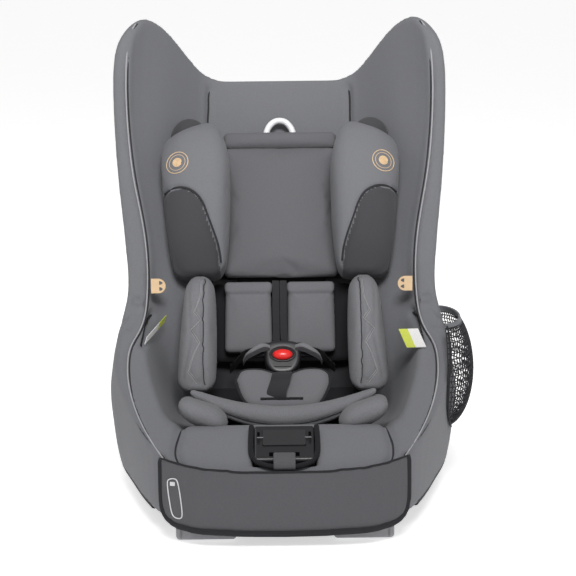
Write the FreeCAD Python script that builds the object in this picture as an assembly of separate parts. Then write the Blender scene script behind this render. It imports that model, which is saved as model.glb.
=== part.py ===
import FreeCAD, Part
import math
import os

from FreeCAD import Vector

# Convertible child seat, in millimetres. X runs to the right of somebody facing the seat,
# +Y towards its back, +Z up. The origin is on the floor, in the middle of the base's footprint.

# --- driving dimensions -------------------------------------------------------------------------
LEAN_DEG = 27.5            # lean of the backrest from the vertical
BACK_FOOT = (70.0, 190.0)  # y and z where the padded backrest starts to rise
BACK_LENGTH = 366.0        # length of the padded backrest along its lean
PAD = 26.0                 # padding between the cover's face and the plastic shell
SKIN = 4.0                 # cover over the outside of the shell
SHELL = 5.0                # wall of the plastic shell
SPLIT_X = 112.0            # seams between the middle and the side covers
WAIST_Z = 262.0            # seam between the wing covers and the arm covers
HEADREST_TRAVEL = 100.0    # how far the headrest rises along the backrest
RECLINE_AXIS = (150.0, 40.0)  # y and z of the recline axle
AXLE_RADIUS = 7.0
AXLE_GAP = 0.08            # running clearance of the axle in the seat's lugs
BASE_TOP = 50.0
BASE_HALF = 139.0
FOOT_IN, FOOT_OUT = 61.0, 137.0
BASE_FRONT, BASE_BACK = -226.0, 192.0
FOOT_FRONT = -251.0
ROD_X, ROD_DEPTH, ROD_RADIUS = 71.0, 8.0, 5.0   # headrest rods, in backrest axes
CLIP_LOW, CLIP_HIGH = 96.0, 120.0               # heights of the clips that hold them, headrest down
WEBBING = 1.6              # thickness of the harness webbing
PULL_STRAP = 27.0          # width of the strap that runs through the adjuster
ADJUSTER = (-229.0, 119.0, 29.0)  # y, z and slope in degrees of the harness adjuster
ADJUSTER_HALF = 38.0       # half width of the adjuster's housing
BUCKLE = (-36.0, 178.0, 40.0)     # y, z and tilt from the vertical of the buckle
RACK_RADIUS = 138.0        # toothed recline arcs, about the recline axle
RACK_X = 50.0
RECLINE_STEPS = (0.0, 5.0, 10.0)
LATCH_RADIUS = 3.0
LATCH_Z = 38.0
LATCH_Y = RECLINE_AXIS[0] - RACK_RADIUS - LATCH_RADIUS - 0.6

# Outer plan sections of the seat from low to high:
# z, back depth, back half width, widest half width and its y, flank half width, front half width
OUTER = (
    (10.0, 208.0, 112.0, 214.0, 10.0, 196.0, 160.0),
    (40.0, 214.0, 116.0, 223.0, 0.0, 201.0, 162.0),
    (90.0, 222.0, 120.0, 227.5, -20.0, 208.0, 164.0),
    (150.0, 230.0, 122.0, 229.0, -30.0, 214.0, 168.0),
    (205.0, 240.0, 122.0, 219.0, 0.0, 216.0, 178.0),
    (260.0, 248.0, 121.0, 209.0, 35.0, 208.0, 185.0),
    (330.0, 258.0, 119.0, 214.0, 52.0, 212.0, 190.0),
    (420.0, 270.0, 117.0, 223.0, 70.0, 222.0, 196.0),
    (512.0, 281.0, 114.0, 228.0, 88.0, 228.0, 200.0),
    (575.0, 287.0, 108.0, 226.0, 95.0, 228.0, 200.0),
    (605.0, 289.0, 104.0, 215.0, 100.0, 217.0, 194.0),
    (632.0, 290.0, 100.0, 190.0, 105.0, 192.0, 180.0),
)
# Inner plan sections: z, corner half width beside the back, half width at the rim and its y,
# half width half way forward, half width at the front
INNER = (
    (60.0, 96.0, 122.0, 20.0, 128.0, 126.0),
    (110.0, 100.0, 140.0, 10.0, 146.0, 136.0),
    (150.0, 100.0, 156.0, 0.0, 164.0, 148.0),
    (205.0, 98.0, 172.0, 0.0, 182.0, 168.0),
    (260.0, 96.0, 178.0, 25.0, 190.0, 178.0),
    (330.0, 98.0, 182.0, 45.0, 194.0, 182.0),
    (420.0, 100.0, 198.0, 62.0, 206.0, 190.0),
    (512.0, 102.0, 208.0, 78.0, 214.0, 196.0),
    (640.0, 98.0, 200.0, 100.0, 208.0, 190.0),
)
# Side outline of the cover's face along the middle: from the front edge over the thigh crest,
# down into the seat and up the backrest, as y, z
SEAT_LINE = ((-300.0, 66.0), (-268.0, 94.0), (-240.0, 117.0), (-200.0, 133.0), (-150.0, 121.0),
             (-100.0, 104.0), (-55.0, 94.0), (-15.0, 92.0), (25.0, 106.0), (50.0, 142.0))
# Rim of the arms and wings seen from the side, from the front corner to the tip and down to the back
RIM_LINE = ((-262.0, 96.0), (-245.0, 110.0), (-180.0, 141.0), (-110.0, 175.0), (-60.0, 202.0),
            (-20.0, 232.0), (14.0, 262.0), (34.0, 310.0), (50.0, 380.0), (66.0, 450.0),
            (80.0, 515.0), (90.0, 570.0), (104.0, 604.0), (132.0, 621.0), (166.0, 611.0),
            (198.0, 583.0), (228.0, 545.0), (247.0, 519.0))

PARTS = "parts"
SIDES = (("left", -1), ("right", 1))
BIG = 900.0
GAP = 0.5


# --- helpers -----------------------------------------------------------------------------------
def export(name, shape):
    shape.exportStep(os.path.join(PARTS, name + ".step"))


def box(x0, x1, y0, y1, z0, z1):
    return Part.makeBox(x1 - x0, y1 - y0, z1 - z0, Vector(x0, y0, z0))


def rounded_box(x0, x1, y0, y1, z0, z1, radius, edges="all"):
    """A box with rounded edges; edges is all, or the axis that the rounded edges run along."""
    solid = box(x0, x1, y0, y1, z0, z1)
    chosen = solid.Edges
    if edges != "all":
        axis = {"x": Vector(1, 0, 0), "y": Vector(0, 1, 0), "z": Vector(0, 0, 1)}[edges]
        chosen = [e for e in solid.Edges if abs(e.tangentAt(e.FirstParameter).dot(axis)) > 0.99]
    return solid.makeFillet(radius, chosen)


def cylinder(start, end, radius):
    a, b = Vector(*start), Vector(*end)
    return Part.makeCylinder(radius, (b - a).Length, a, b - a)


def curve(points):
    spline = Part.BSplineCurve()
    spline.interpolate([Vector(*p) for p in points])
    return spline.toShape()


def closed_curve(points):
    """A smooth line through the points, closed by a straight line from the last to the first."""
    closing = Part.makeLine(Vector(*points[-1]), Vector(*points[0]))
    return Part.Wire([curve(points), closing])


def extrude_side(edges, x0=-BIG / 2, x1=BIG / 2):
    """Extrude a closed outline drawn in the side view (x = 0) between two widths."""
    face = Part.Face(Part.Wire(Part.__sortEdges__(edges)))
    solid = face.extrude(Vector(x1 - x0, 0, 0))
    solid.translate(Vector(x0, 0, 0))
    return solid


def side_polygon(points, x0=-BIG / 2, x1=BIG / 2):
    wire = Part.makePolygon([Vector(0, y, z) for y, z in points] + [Vector(0, *points[0])])
    return extrude_side(wire.Edges, x0, x1)


def lean(shape):
    """Move a shape from backrest axes (x, depth into the back, height along it) to the seat."""
    moved = shape.copy()
    moved.rotate(Vector(0, 0, 0), Vector(1, 0, 0), -LEAN_DEG)
    moved.translate(Vector(0, *BACK_FOOT))
    return moved


def lean_point(x, depth, height):
    s, c = math.sin(math.radians(LEAN_DEG)), math.cos(math.radians(LEAN_DEG))
    return (x, BACK_FOOT[0] + depth * c + height * s, BACK_FOOT[1] - depth * s + height * c)


def mirrored(shape):
    return shape.mirror(Vector(0, 0, 0), Vector(1, 0, 0))


def one_side(shape, side):
    return shape if side > 0 else mirrored(shape)


def tube_along(points, radius):
    """A round bar along straight runs with rounded corners between them."""
    solid = None
    for a, b in zip(points, points[1:]):
        piece = cylinder(a, b, radius)
        solid = piece if solid is None else solid.fuse(piece)
    for p in points[1:-1]:
        solid = solid.fuse(Part.makeSphere(radius, Vector(*p)))
    return solid.removeSplitter()


def strap(points, width, thickness, x_shift=0.0):
    """Flat webbing whose middle line is drawn in the side view, as one bent band."""
    lower, upper = [], []
    for i, (y, z) in enumerate(points):
        before = points[max(i - 1, 0)]
        after = points[min(i + 1, len(points) - 1)]
        dy, dz = after[0] - before[0], after[1] - before[1]
        length = math.hypot(dy, dz)
        ny, nz = -dz / length * thickness / 2, dy / length * thickness / 2
        lower.append((y - ny, z - nz))
        upper.append((y + ny, z + nz))
    return side_polygon(lower + upper[::-1], x_shift - width / 2, x_shift + width / 2)


# --- the bucket's surfaces ------------------------------------------------------------------------
def inset_points(points, inset):
    """Move the points of a closed outline inwards along their normals."""
    count = len(points)
    moved = []
    for i, (x, y) in enumerate(points):
        ax, ay = points[i - 1]
        bx, by = points[(i + 1) % count]
        tx, ty = bx - ax, by - ay
        length = math.hypot(tx, ty)
        moved.append((x + ty / length * inset, y - tx / length * inset))
    return moved


def outer_outline(back_y, back_x, wide_x, wide_y, flank_x, front_x):
    mid_x = (back_x + wide_x) / 2 + 9
    mid_y = (back_y - 22 + wide_y) / 2 + 12
    half = [(0.6 * back_x, back_y - 2), (back_x, back_y - 20), (mid_x, mid_y), (wide_x, wide_y),
            (flank_x, -110), (front_x, -225), (0.72 * front_x, -262), (0.4 * front_x, -270)]
    left = [(-x, y) for x, y in half]
    return half[::-1] + [(0, back_y)] + left


def outer_solid(inset):
    wires = []
    for z, *row in OUTER:
        points = inset_points(outer_outline(*row), -inset)
        wires.append(closed_curve([(x, y, z) for x, y in points]))
    return Part.makeLoft(wires, True, False)


def back_face_y(z):
    """Depth of the padded backrest's face at a height, continued straight below and above."""
    return BACK_FOOT[0] + (z - BACK_FOOT[1]) * math.tan(math.radians(LEAN_DEG))


def inner_outline(z, corner_x, rim_x, rim_y, flank_x, front_x):
    back_y = back_face_y(z) + 40
    corner_y = back_face_y(z) - 6
    mid_x, mid_y = (corner_x + rim_x) / 2, (corner_y + rim_y) / 2
    half = [(0.55 * corner_x, back_y), (corner_x, corner_y), (mid_x, mid_y), (rim_x, rim_y),
            (flank_x, rim_y - 90), (front_x, -228), (front_x, -300)]
    left = [(-x, y) for x, y in half]
    return half[::-1] + [(0, back_y + 6)] + left


def inner_solid(inset=0.0):
    wires = []
    for z, *row in INNER:
        points = inset_points(inner_outline(z, *row), -inset)
        wires.append(closed_curve([(x, y, z) for x, y in points]))
    return Part.makeLoft(wires, True, False)


def shifted(points, depth):
    """Offset an open side outline downwards and backwards by a depth."""
    moved = []
    for i, (y, z) in enumerate(points):
        a = points[max(i - 1, 0)]
        b = points[min(i + 1, len(points) - 1)]
        dy, dz = b[0] - a[0], b[1] - a[1]
        length = math.hypot(dy, dz)
        moved.append((y + dz / length * depth, z - dy / length * depth))
    return moved


def face_line(depth=0.0):
    """The cover's middle line, from the front edge to the top of the backrest."""
    top = lean_point(0, 0, BACK_LENGTH + 140)[1:]
    line = list(SEAT_LINE) + [lean_point(0, 0, 0)[1:], lean_point(0, 0, 60)[1:]]
    line += [lean_point(0, 0, 200)[1:], top]
    return shifted(line, depth)


def above_line(depth=0.0):
    """Everything in front of and above the cover's middle line, sunk by a depth."""
    line = [(0, y, z) for y, z in face_line(depth)]
    start, end = line[0], line[-1]
    frame = [end, (0, end[1], BIG), (0, -BIG, BIG), (0, -BIG, start[2]), start]
    edges = [curve(line)] + Part.makePolygon([Vector(*p) for p in frame]).Edges
    return extrude_side(edges)


def outer_profile(shrink=0.0):
    """Side outline of the whole seat: rim in front and on top, rear slope, lower hem."""
    rim = [(0, y, z) for y, z in shifted(list(RIM_LINE), shrink)]
    hem = 28.0 + shrink
    first, last = rim[0], rim[-1]
    rest = [last, (0, 252, 514 - shrink), (0, BIG / 2, 514 - shrink), (0, BIG / 2, hem),
            (0, -274 + shrink, hem), (0, -274 + shrink, 80), first]
    edges = [curve(rim)] + Part.makePolygon([Vector(*p) for p in rest]).Edges
    return extrude_side(edges)


# --- seat shell -------------------------------------------------------------------------------------
def belt_slots():
    """The vehicle belt's path: one slanted slot through each side, above the arms."""
    slot = rounded_box(-BIG / 2, BIG / 2, -8, 8, -23, 23, 7.5, "x")
    slot.rotate(Vector(0, 0, 0), Vector(1, 0, 0), -24)
    slot.translate(Vector(0, -22, 196))
    return slot


def harness_window():
    """Upright opening in the backrest where the shoulder straps and their carrier pass."""
    return lean(rounded_box(-58, 58, -60, 120, -34, 176, 12, "y"))


def seat_shell():
    outside = outer_solid(SKIN).common(outer_profile(8.0))
    inside = outer_solid(SKIN + SHELL)
    web_top, web_bottom = above_line(PAD), above_line(PAD + SHELL)
    web = web_bottom.cut(web_top)
    hollow = inside.cut(web)
    shell = outside.cut(hollow)
    shell = shell.cut(box(-152, 152, -BIG / 2, -200, 0, 66))
    shell = shell.cut(box(-150, 150, 150, BIG / 2, 0, 64))
    shell = shell.cut(rounded_box(-78, 78, 150, BIG / 2, 120, 420, 24, "y"))
    shell = shell.cut(belt_slots())
    shell = shell.cut(harness_window())
    shell = shell.cut(box(-31, 31, -62, -18, 40, 110))
    return shell.cut(adjuster_space(3.0))


def shell_cutter():
    """The shell's space grown by a small gap, for cutting the covers."""
    outside = outer_solid(SKIN - GAP).common(outer_profile(8.0 - GAP))
    inside = outer_solid(SKIN + SHELL + GAP)
    web = above_line(PAD + SHELL + GAP).cut(above_line(PAD - GAP))
    return outside.cut(inside.cut(web))


# --- covers -----------------------------------------------------------------------------------------
def cover_parts():
    bucket = outer_solid(0.0).common(outer_profile())
    cavity = inner_solid().common(above_line())
    cover = bucket.cut(cavity)
    below_web = outer_solid(SKIN + SHELL + GAP).cut(above_line(PAD + SHELL))
    cover = cover.cut(below_web)
    rear = side_polygon(((176, 0), (244, 470), (258, 650), (BIG / 2, 650), (BIG / 2, 0)))
    outer_skin = outer_solid(-20).cut(outer_solid(SKIN + SHELL - 0.5))
    cover = cover.cut(rear.common(outer_skin).cut(above_line(PAD - GAP)))
    cover = cover.cut(shell_cutter())
    cover = cover.cut(belt_slots())
    cover = cover.cut(harness_window())
    for x in (-ROD_X, ROD_X):
        channel = box(x - 12, x + 12, 2, PAD + 1, -60, 254 + HEADREST_TRAVEL)
        slot = box(x - 10, x + 10, -60, 3, CLIP_LOW - 4, CLIP_HIGH + HEADREST_TRAVEL + 4)
        cover = cover.cut(lean(channel)).cut(lean(slot))
    cover = cover.cut(box(-152, 152, -BIG / 2, -200, 0, 66))
    cover = cover.cut(box(-24, 24, -58, -22, 40, 150))
    cover = cover.cut(adjuster_space(2.0))
    middle = box(-SPLIT_X, SPLIT_X, -BIG / 2, BIG / 2, 0, BIG)
    low = side_polygon(((-BIG / 2, 0), (BIG / 2, 0), (BIG / 2, 150), (90, 170), (20, 190), (-BIG / 2, 190)))
    centre = cover.common(middle)
    parts = {"cover_seat": centre.common(low), "cover_back": centre.cut(low)}
    for name, side in SIDES:
        flank = one_side(box(SPLIT_X, BIG / 2, -BIG / 2, BIG / 2, 0, BIG), side)
        half = cover.common(flank)
        parts["cover_arm_" + name] = half.common(box(-BIG, BIG, -BIG, BIG, 0, WAIST_Z))
        parts["cover_wing_" + name] = half.common(box(-BIG, BIG, -BIG, BIG, WAIST_Z, BIG))
    return {name: biggest(shape) for name, shape in parts.items()}


def biggest(shape):
    """Drop the crumbs that cutting leaves."""
    return max(shape.Solids, key=lambda solid: solid.Volume)


def tilted(shape, place):
    """Move a shape drawn about its own centre, X across and Z along its length."""
    y, z, tilt = place
    moved = shape.copy()
    moved.rotate(Vector(0, 0, 0), Vector(1, 0, 0), -tilt)
    moved.translate(Vector(0, y, z))
    return moved


def adjuster_place(shape):
    return tilted(shape, (ADJUSTER[0], ADJUSTER[1], 90 - ADJUSTER[2]))


def adjuster_space(room):
    half = ADJUSTER_HALF + room
    return adjuster_place(box(-half, half, -40, 26 + room, -30 - room, 30 + room))


def band_above(low, high):
    """The layer between two heights above the cover's middle line."""
    return above_line(-low).cut(above_line(-high))


def coil(radius, wire, length, turns):
    helix = Part.makeHelix(length / turns, length, radius)
    start = Part.Wire(Part.makeCircle(wire, Vector(radius, 0, 0), Vector(0, 1, 0)))
    return Part.Wire(helix.Edges).makePipeShell([start], True, False)


# --- base -------------------------------------------------------------------------------------------
def base_shell():
    body = rounded_box(-BASE_HALF, BASE_HALF, BASE_FRONT, BASE_BACK, 22, BASE_TOP, 30, "z")
    room = outer_solid(SKIN + SHELL + 6)
    hollow = rounded_box(-BASE_HALF + 4, BASE_HALF - 4, BASE_FRONT + 4, BASE_BACK - 4, 10,
                         BASE_TOP - 4, 26, "z")
    shell = body.common(room).cut(hollow.common(outer_solid(SKIN + SHELL + 10)))
    for x in (-110, 110):
        shell = shell.fuse(box(x - 2, x + 2, BASE_FRONT + 3, BASE_BACK - 3, 22, BASE_TOP - 3))
    for y in (-150, -60, 90):
        rib = box(-BASE_HALF + 3, BASE_HALF - 3, y - 2, y + 2, 22, BASE_TOP - 3)
        shell = shell.fuse(rib)
    axis_y, axis_z = RECLINE_AXIS
    for x in (-118, 102):
        shell = shell.fuse(cylinder((x, axis_y, axis_z), (x + 16, axis_y, axis_z), 15))
        shell = shell.fuse(box(x, x + 16, axis_y - 15, axis_y + 15, 25, axis_z))
    shell = shell.cut(cylinder((-200, axis_y, axis_z), (200, axis_y, axis_z), AXLE_RADIUS))
    shell = shell.cut(box(-52, 52, -BIG, -200, 15, 43))
    for x in (-RACK_X, RACK_X):
        shell = shell.cut(box(x - 8, x + 8, -6, 48, BASE_TOP - 8, BASE_TOP + 8))
    lug_room = box(119.5, 200, axis_y - 24, axis_y + 24, 20, BASE_TOP + 8)
    shell = shell.cut(lug_room).cut(mirrored(lug_room))
    for x in (-36, 36):
        shell = shell.cut(cylinder((x, -240, 36), (x, 30, 36), 4.5))
    shell = shell.cut(box(-88, 88, LATCH_Y - 22, 48, 27, BASE_TOP - 4))
    shell = shell.fuse(box(-16, 16, -62, 16, 22, 26)).fuse(box(-12, 12, -12, 12, 2, 22))
    return shell.removeSplitter()


def foot(side):
    body = rounded_box(FOOT_IN, FOOT_OUT, FOOT_FRONT, BASE_BACK - 2, 2, 21.8, 5, "all")
    groove = box(FOOT_OUT - 8, FOOT_OUT - 6, FOOT_FRONT - 5, FOOT_FRONT + 1.5, 0, 40)
    return one_side(body.cut(groove), side)


def foot_pads():
    """Rubber pads under both feet and under the base's middle stop."""
    pads = [rounded_box(-16, 16, -16, 16, 0, 2, 6, "z")]
    for _, side in SIDES:
        for y in (FOOT_FRONT + 12, -60, BASE_BACK - 56):
            pads.append(one_side(rounded_box(70, 128, y, y + 40, 0, 2, 6, "z"), side))
    return Part.makeCompound(pads)


def base_screws():
    screws = []
    for x in (-124, 124):
        for y in (-190, -30, 60, 120):
            screws.append(cylinder((x, y, 21.8), (x, y, 24), 4))
    return Part.makeCompound(screws)


def recline_axle():
    y, z = RECLINE_AXIS
    return cylinder((-131, y, z), (131, y, z), AXLE_RADIUS)


def hinge_lug(side):
    y, z = RECLINE_AXIS
    hem = 36.2
    upper = box(121, 190, y - 14, y + 14, hem, z + 60).common(outer_solid(SKIN + SHELL + 0.05))
    lower = box(121, 190, y - 14, y + 14, z - 12, hem).common(outer_solid(SKIN + SHELL + GAP + 0.1))
    lug = upper.fuse(lower).cut(above_line(PAD + SHELL + 0.05))
    lug = lug.cut(cylinder((0, y, z), (132, y, z), AXLE_RADIUS + AXLE_GAP))
    return one_side(biggest(lug), side)


def recline_rack(side):
    """Toothed arc about the recline axle, under the seat."""
    y, z = RECLINE_AXIS
    start, end = (RACK_X - 3, y, z), (RACK_X + 3, y, z)
    ring = cylinder(start, end, RACK_RADIUS).cut(cylinder(start, end, RACK_RADIUS - 18))
    piece = ring.common(box(0, 200, -20, 60, 9, 120)).cut(above_line(PAD + SHELL + 0.05))
    level = math.degrees(math.asin((z - LATCH_Z) / RACK_RADIUS))
    for step in RECLINE_STEPS:
        angle = math.radians(180 + level + step)
        ty, tz = y + RACK_RADIUS * math.cos(angle), z + RACK_RADIUS * math.sin(angle)
        piece = piece.cut(cylinder((start[0], ty, tz), (end[0], ty, tz), LATCH_RADIUS + 0.5))
    return one_side(biggest(piece), side)


def latch_linkage():
    bar = cylinder((-60, LATCH_Y, LATCH_Z), (60, LATCH_Y, LATCH_Z), LATCH_RADIUS)
    for x in (-36, 36):
        bar = bar.fuse(cylinder((x, -226, 36), (x, LATCH_Y, 36), 3.0))
    return bar.removeSplitter()


def recline_handle():
    grip = rounded_box(-46, 46, -256, -226, 25, 41, 6, "all")
    finger = rounded_box(-34, 34, -246, -232, 10, 60, 5, "z")
    return grip.cut(finger)


def latch_springs():
    springs = []
    for x in (-36, 36):
        spring = coil(4.0, 0.7, 34, 9)
        spring.rotate(Vector(0, 0, 0), Vector(1, 0, 0), -90)
        spring.translate(Vector(x, LATCH_Y + 6, 36))
        springs.append(spring)
    return Part.makeCompound(springs)


# --- parts on the seat --------------------------------------------------------------------------------
def rod_guide(side):
    blocks = None
    for s in (62, 226):
        block = box(ROD_X - 11, ROD_X + 11, 2.2, PAD - 0.15, s, s + 28)
        blocks = block if blocks is None else blocks.fuse(block)
    bore = cylinder((ROD_X, ROD_DEPTH, 0), (ROD_X, ROD_DEPTH, 300), ROD_RADIUS + 0.3)
    return one_side(lean(blocks.cut(bore)), side)


def tether_plate():
    plate = box(-26, 26, 240, 320, 440, 474)
    plate = plate.common(outer_solid(SKIN - 4.0).cut(outer_solid(SKIN)))
    return plate.cut(rounded_box(-15, 15, 200, 340, 455, 463, 3, "y"))


def yoke():
    plate = rounded_box(-30, 30, 43, 46, -6, 34, 6, "y")
    for x0, x1, s in ((-26, -6, 22), (6, 26, 22), (-20, 20, 2)):
        plate = plate.cut(box(x0, x1, 30, 60, s, s + 5))
    return lean(plate)


def rear_straps():
    bands = []
    for _, side in SIDES:
        x0, x1 = sorted((side * 8, side * 24))
        bands.append(lean(box(x0, x1, 44 - 7, 44 - 7 + WEBBING, 26, 66)))
    return Part.makeCompound(bands)


def adjuster_strap():
    route = ((lean_point(0, 40, 4)[1:]), (lean_point(0, 41, -60)[1:]), (70, 66), (30, 54), (-60, 53.5),
             (-110, 60), (-160, 80), (-196, 92))
    return strap(route, PULL_STRAP, WEBBING)


def crotch_anchor():
    plate = rounded_box(-38, 38, -62, -18, 56.5, 59, 6, "z")
    return plate.cut(box(-16, 16, -43, -37, 50, 70))


def crotch_strap():
    band = strap(((-40, 59.2), (-40, 90), (-43, 124), (-47, 160)), 24, WEBBING + 0.4)
    return biggest(band.cut(buckle_housing()))


def crotch_pad():
    pad = rounded_box(-56, 56, -6.5, 6.5, -27, 27, 6, "all")
    pad = pad.cut(box(-15, 15, -20, 20, 20, 40))
    return tilted(pad, (-83.0, 156.0, 62.0))


def insert_back():
    return lean(rounded_box(-98, 98, -27, -3, -44, 60, 9, "all"))


def insert_seat():
    layer = band_above(1.0, 23.0).common(box(-112, 112, -106, 26, 60, 200))
    layer = layer.common(inner_solid(1.5))
    return biggest(layer.cut(box(-24, 24, -60, -24, 40, 200)))


def insert_bolster(side):
    outline = ((-30, 50), (-60, 58), (-90, 56), (-108, 30), (-114, -20), (-116, -70), (-112, -104),
               (-84, -104), (-40, -62), (-30, -20))
    wire = Part.makePolygon([Vector(88, d, s) for d, s in outline] + [Vector(88, *outline[0])])
    solid = lean(Part.Face(wire).extrude(Vector(55, 0, 0)))
    solid = solid.common(inner_solid(1.5)).common(above_line(-24.0))
    return one_side(biggest(solid), side)


def insert_lobe(side):
    layer = band_above(1.0, 22.0).common(rounded_box(74, 131, -184, -122, 60, 200, 16, "z"))
    return one_side(biggest(layer.common(inner_solid(1.5))), side)


def insert_roll():
    points = [(x, -130 - 18 * (x / 116) ** 2, 127 + 28 * (x / 116) ** 2)
              for x in (-70, -35, 0, 35, 70)]
    return biggest(tube_along(points, 11).common(above_line(-0.8)))


def buckle_housing():
    shell = rounded_box(-24, 24, -11, 11, -24, 22, 6, "all")
    pocket = rounded_box(-13.4, 13.4, -12, -3, -4.4, 10.4, 3, "y")
    slot = box(-20, 20, -2, 2, 10, 30)
    return tilted(shell.cut(pocket).cut(slot), BUCKLE)


def buckle_button():
    return tilted(rounded_box(-13, 13, -13.5, -7, -4, 10, 2.8, "y"), BUCKLE)


def buckle_tongue(side):
    blade = box(1, 19, -1.2, 1.2, 11, 30)
    head = rounded_box(1.5, 34, -1.6, 1.6, 23, 36, 3, "y")
    tongue = blade.common(box(0, 40, -5, 5, 0, 23)).fuse(head).cut(box(7, 29, -5, 5, 28.5, 31.5))
    return one_side(tilted(tongue.removeSplitter(), BUCKLE), side)


def lap_strap(side):
    band = box(0, 46, -0.8, 0.8, -11, 11)
    band.rotate(Vector(0, 0, 0), Vector(0, 1, 0), 42)
    band.translate(Vector(35.5, 0, 34))
    return one_side(biggest(tilted(band, BUCKLE).cut(buckle_tongue(1))), side)


def shoulder_strap(side):
    route = ((17, 166), (6, 172), (-4, 185), (-12, 197))
    return one_side(biggest(strap(route, 26, WEBBING, 20.0).cut(buckle_tongue(1))), side)


def adjuster_housing():
    body = rounded_box(-ADJUSTER_HALF, ADJUSTER_HALF, -5, 22, -30, 30, 4, "all")
    body = body.cut(box(-27.3, 27.3, -8, 4, -6.3, 20.3))
    body = body.cut(box(-19, 19, -8, 14, -24, -17))
    for x in (-34, 30.5):
        body = body.cut(rounded_box(x, x + 3.5, -8, 2, -4, 18, 1.5, "y"))
    return adjuster_place(body)


def adjuster_button():
    return adjuster_place(rounded_box(-27, 27, -6.5, -0.5, -6, 20, 2.0, "y"))


def strap_tail():
    """The adjuster's pull strap, doubled into a short loop over the front edge."""
    loop = strap(((-244, 116), (-262, 111), (-272, 104), (-277, 97)), PULL_STRAP, 4.2)
    return biggest(loop.cut(adjuster_space(0.4)))


def apron():
    layer = outer_solid(-8.0).cut(outer_solid(-1.0))
    outline = rounded_box(-157, 157, -320, -225, 16, 105, 22, "y")
    return biggest(layer.common(outline).cut(box(-16, 16, -300, -255, 91, 140)))


def gold_tab(side):
    tab = rounded_box(157, 175, 5.0, 6.6, 262, 281, 5, "y")
    for z in (267.5, 275.5):
        tab = tab.cut(rounded_box(161, 171, 0, 10, z - 2, z + 2, 1.6, "y"))
    return one_side(tab, side)


def belt_tag(side):
    tag = rounded_box(0, 44, -0.6, 0.6, 0, 17, 2, "y")
    tag.rotate(Vector(0, 0, 0), Vector(0, 1, 0), 18)
    tag.rotate(Vector(0, 0, 0), Vector(0, 0, 1), -36)
    tag.translate(Vector(147, -34, 214))
    return one_side(tag, side)


def pocket_form(radii):
    ball = Part.makeSphere(1.0)
    scale = FreeCAD.Matrix()
    scale.scale(*radii)
    form = ball.transformGeometry(scale)
    form.translate(Vector(214, -24, 164))
    return form


def mesh_pocket():
    bag = pocket_form((42, 88, 82)).cut(pocket_form((39.5, 85.5, 79.5)))
    bag = bag.cut(outer_solid(-0.6))
    whole = bag.common(box(150, 300, -200, 200, 60, 229))
    band = bag.common(box(150, 300, -200, 200, 229, 238))
    return biggest(whole), biggest(band)


# --- headrest --------------------------------------------------------------------------------------
def headrest_frame():
    half = ((0, -4), (82, -4), (96, -13), (136, -50), (142, -74), (135, -76), (129, -54), (92, -19),
            (79, -11), (0, -11))
    outline = [Vector(x, d, 74) for x, d in half]
    outline += [Vector(-x, d, 74) for x, d in half[::-1][1:-1]]
    frame = Part.Face(Part.makePolygon(outline + [outline[0]])).extrude(Vector(0, 0, 184))
    frame = frame.cut(rounded_box(-52, 52, -30, 10, 96, 200, 14, "y"))
    for x in (-ROD_X, ROD_X):
        frame = frame.fuse(box(x - 8, x + 8, -4, 15, CLIP_LOW, CLIP_HIGH))
        frame = frame.cut(cylinder((x, ROD_DEPTH, 0), (x, ROD_DEPTH, 250), ROD_RADIUS))
    room = inner_solid(4.5)
    lowered = room.copy()
    lowered.translate(Vector(*lean_point(0, 0, 0)) - Vector(*lean_point(0, 0, HEADREST_TRAVEL)))
    return biggest(lean(frame.removeSplitter()).common(room).common(lowered))


def headrest_rods():
    rods = [cylinder((x, ROD_DEPTH, -48), (x, ROD_DEPTH, 250), ROD_RADIUS) for x in (-ROD_X, ROD_X)]
    return lean(Part.makeCompound(rods))


def harness_carrier():
    plate = box(-62, 62, -8, -5, 61.5, 73.8)
    for x in (-50, 14):
        plate = plate.cut(box(x, x + 36, -15, 5, 65, 69))
    return lean(plate)


def headrest_pad():
    return lean(rounded_box(-66, 66, -48, -20, 70, 254, 9, "all"))


def headrest_flap():
    return lean(rounded_box(-67, 67, -50, -20, 254.5, 277, 8, "all"))


def wing_section(s, inner, outer, back, front):
    width, depth = outer - inner, back - front
    points = ((0.06, 0.0), (0.0, 0.35), (0.0, 0.78), (0.12, 0.96), (0.38, 1.0), (0.72, 0.93),
              (0.95, 0.76), (1.0, 0.58))
    ring = [(inner + u * width, back - v * depth, s) for u, v in points]
    return closed_curve(ring)


def headrest_wing():
    rows = ((68, 80, 138, -34, -100), (110, 76, 152, -28, -122), (165, 73, 158, -28, -138),
            (215, 72, 163, -30, -138), (252, 80, 156, -34, -124), (279, 98, 140, -46, -98))
    return Part.makeLoft([wing_section(*row) for row in rows], True, False)


def headrest_wings():
    frame = headrest_frame()
    made = {}
    for name, side in SIDES:
        wing = lean(one_side(headrest_wing(), side)).common(inner_solid(2.5)).cut(frame)
        made[name] = biggest(wing)
    return made


def headrest_handle():
    loop = rounded_box(-24, 24, -18.5, -12.5, 232, 304, 21, "y")
    loop = loop.cut(rounded_box(-14, 14, -30, 0, 200, 293, 12, "y"))
    return lean(loop)


def handle_latch_bar():
    return lean(box(-46, 46, -18.5, -12.5, 222, 231.8))


def handle_springs():
    springs = []
    for x in (-34, 34):
        spring = coil(2.6, 0.5, 16, 6)
        spring.translate(Vector(x, -15.5, 204.5))
        springs.append(spring)
    return lean(Part.makeCompound(springs))


def shoulder_pad(side):
    return one_side(lean(rounded_box(4, 80, -46, -34, -40, 60, 5, "all")), side)


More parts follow.
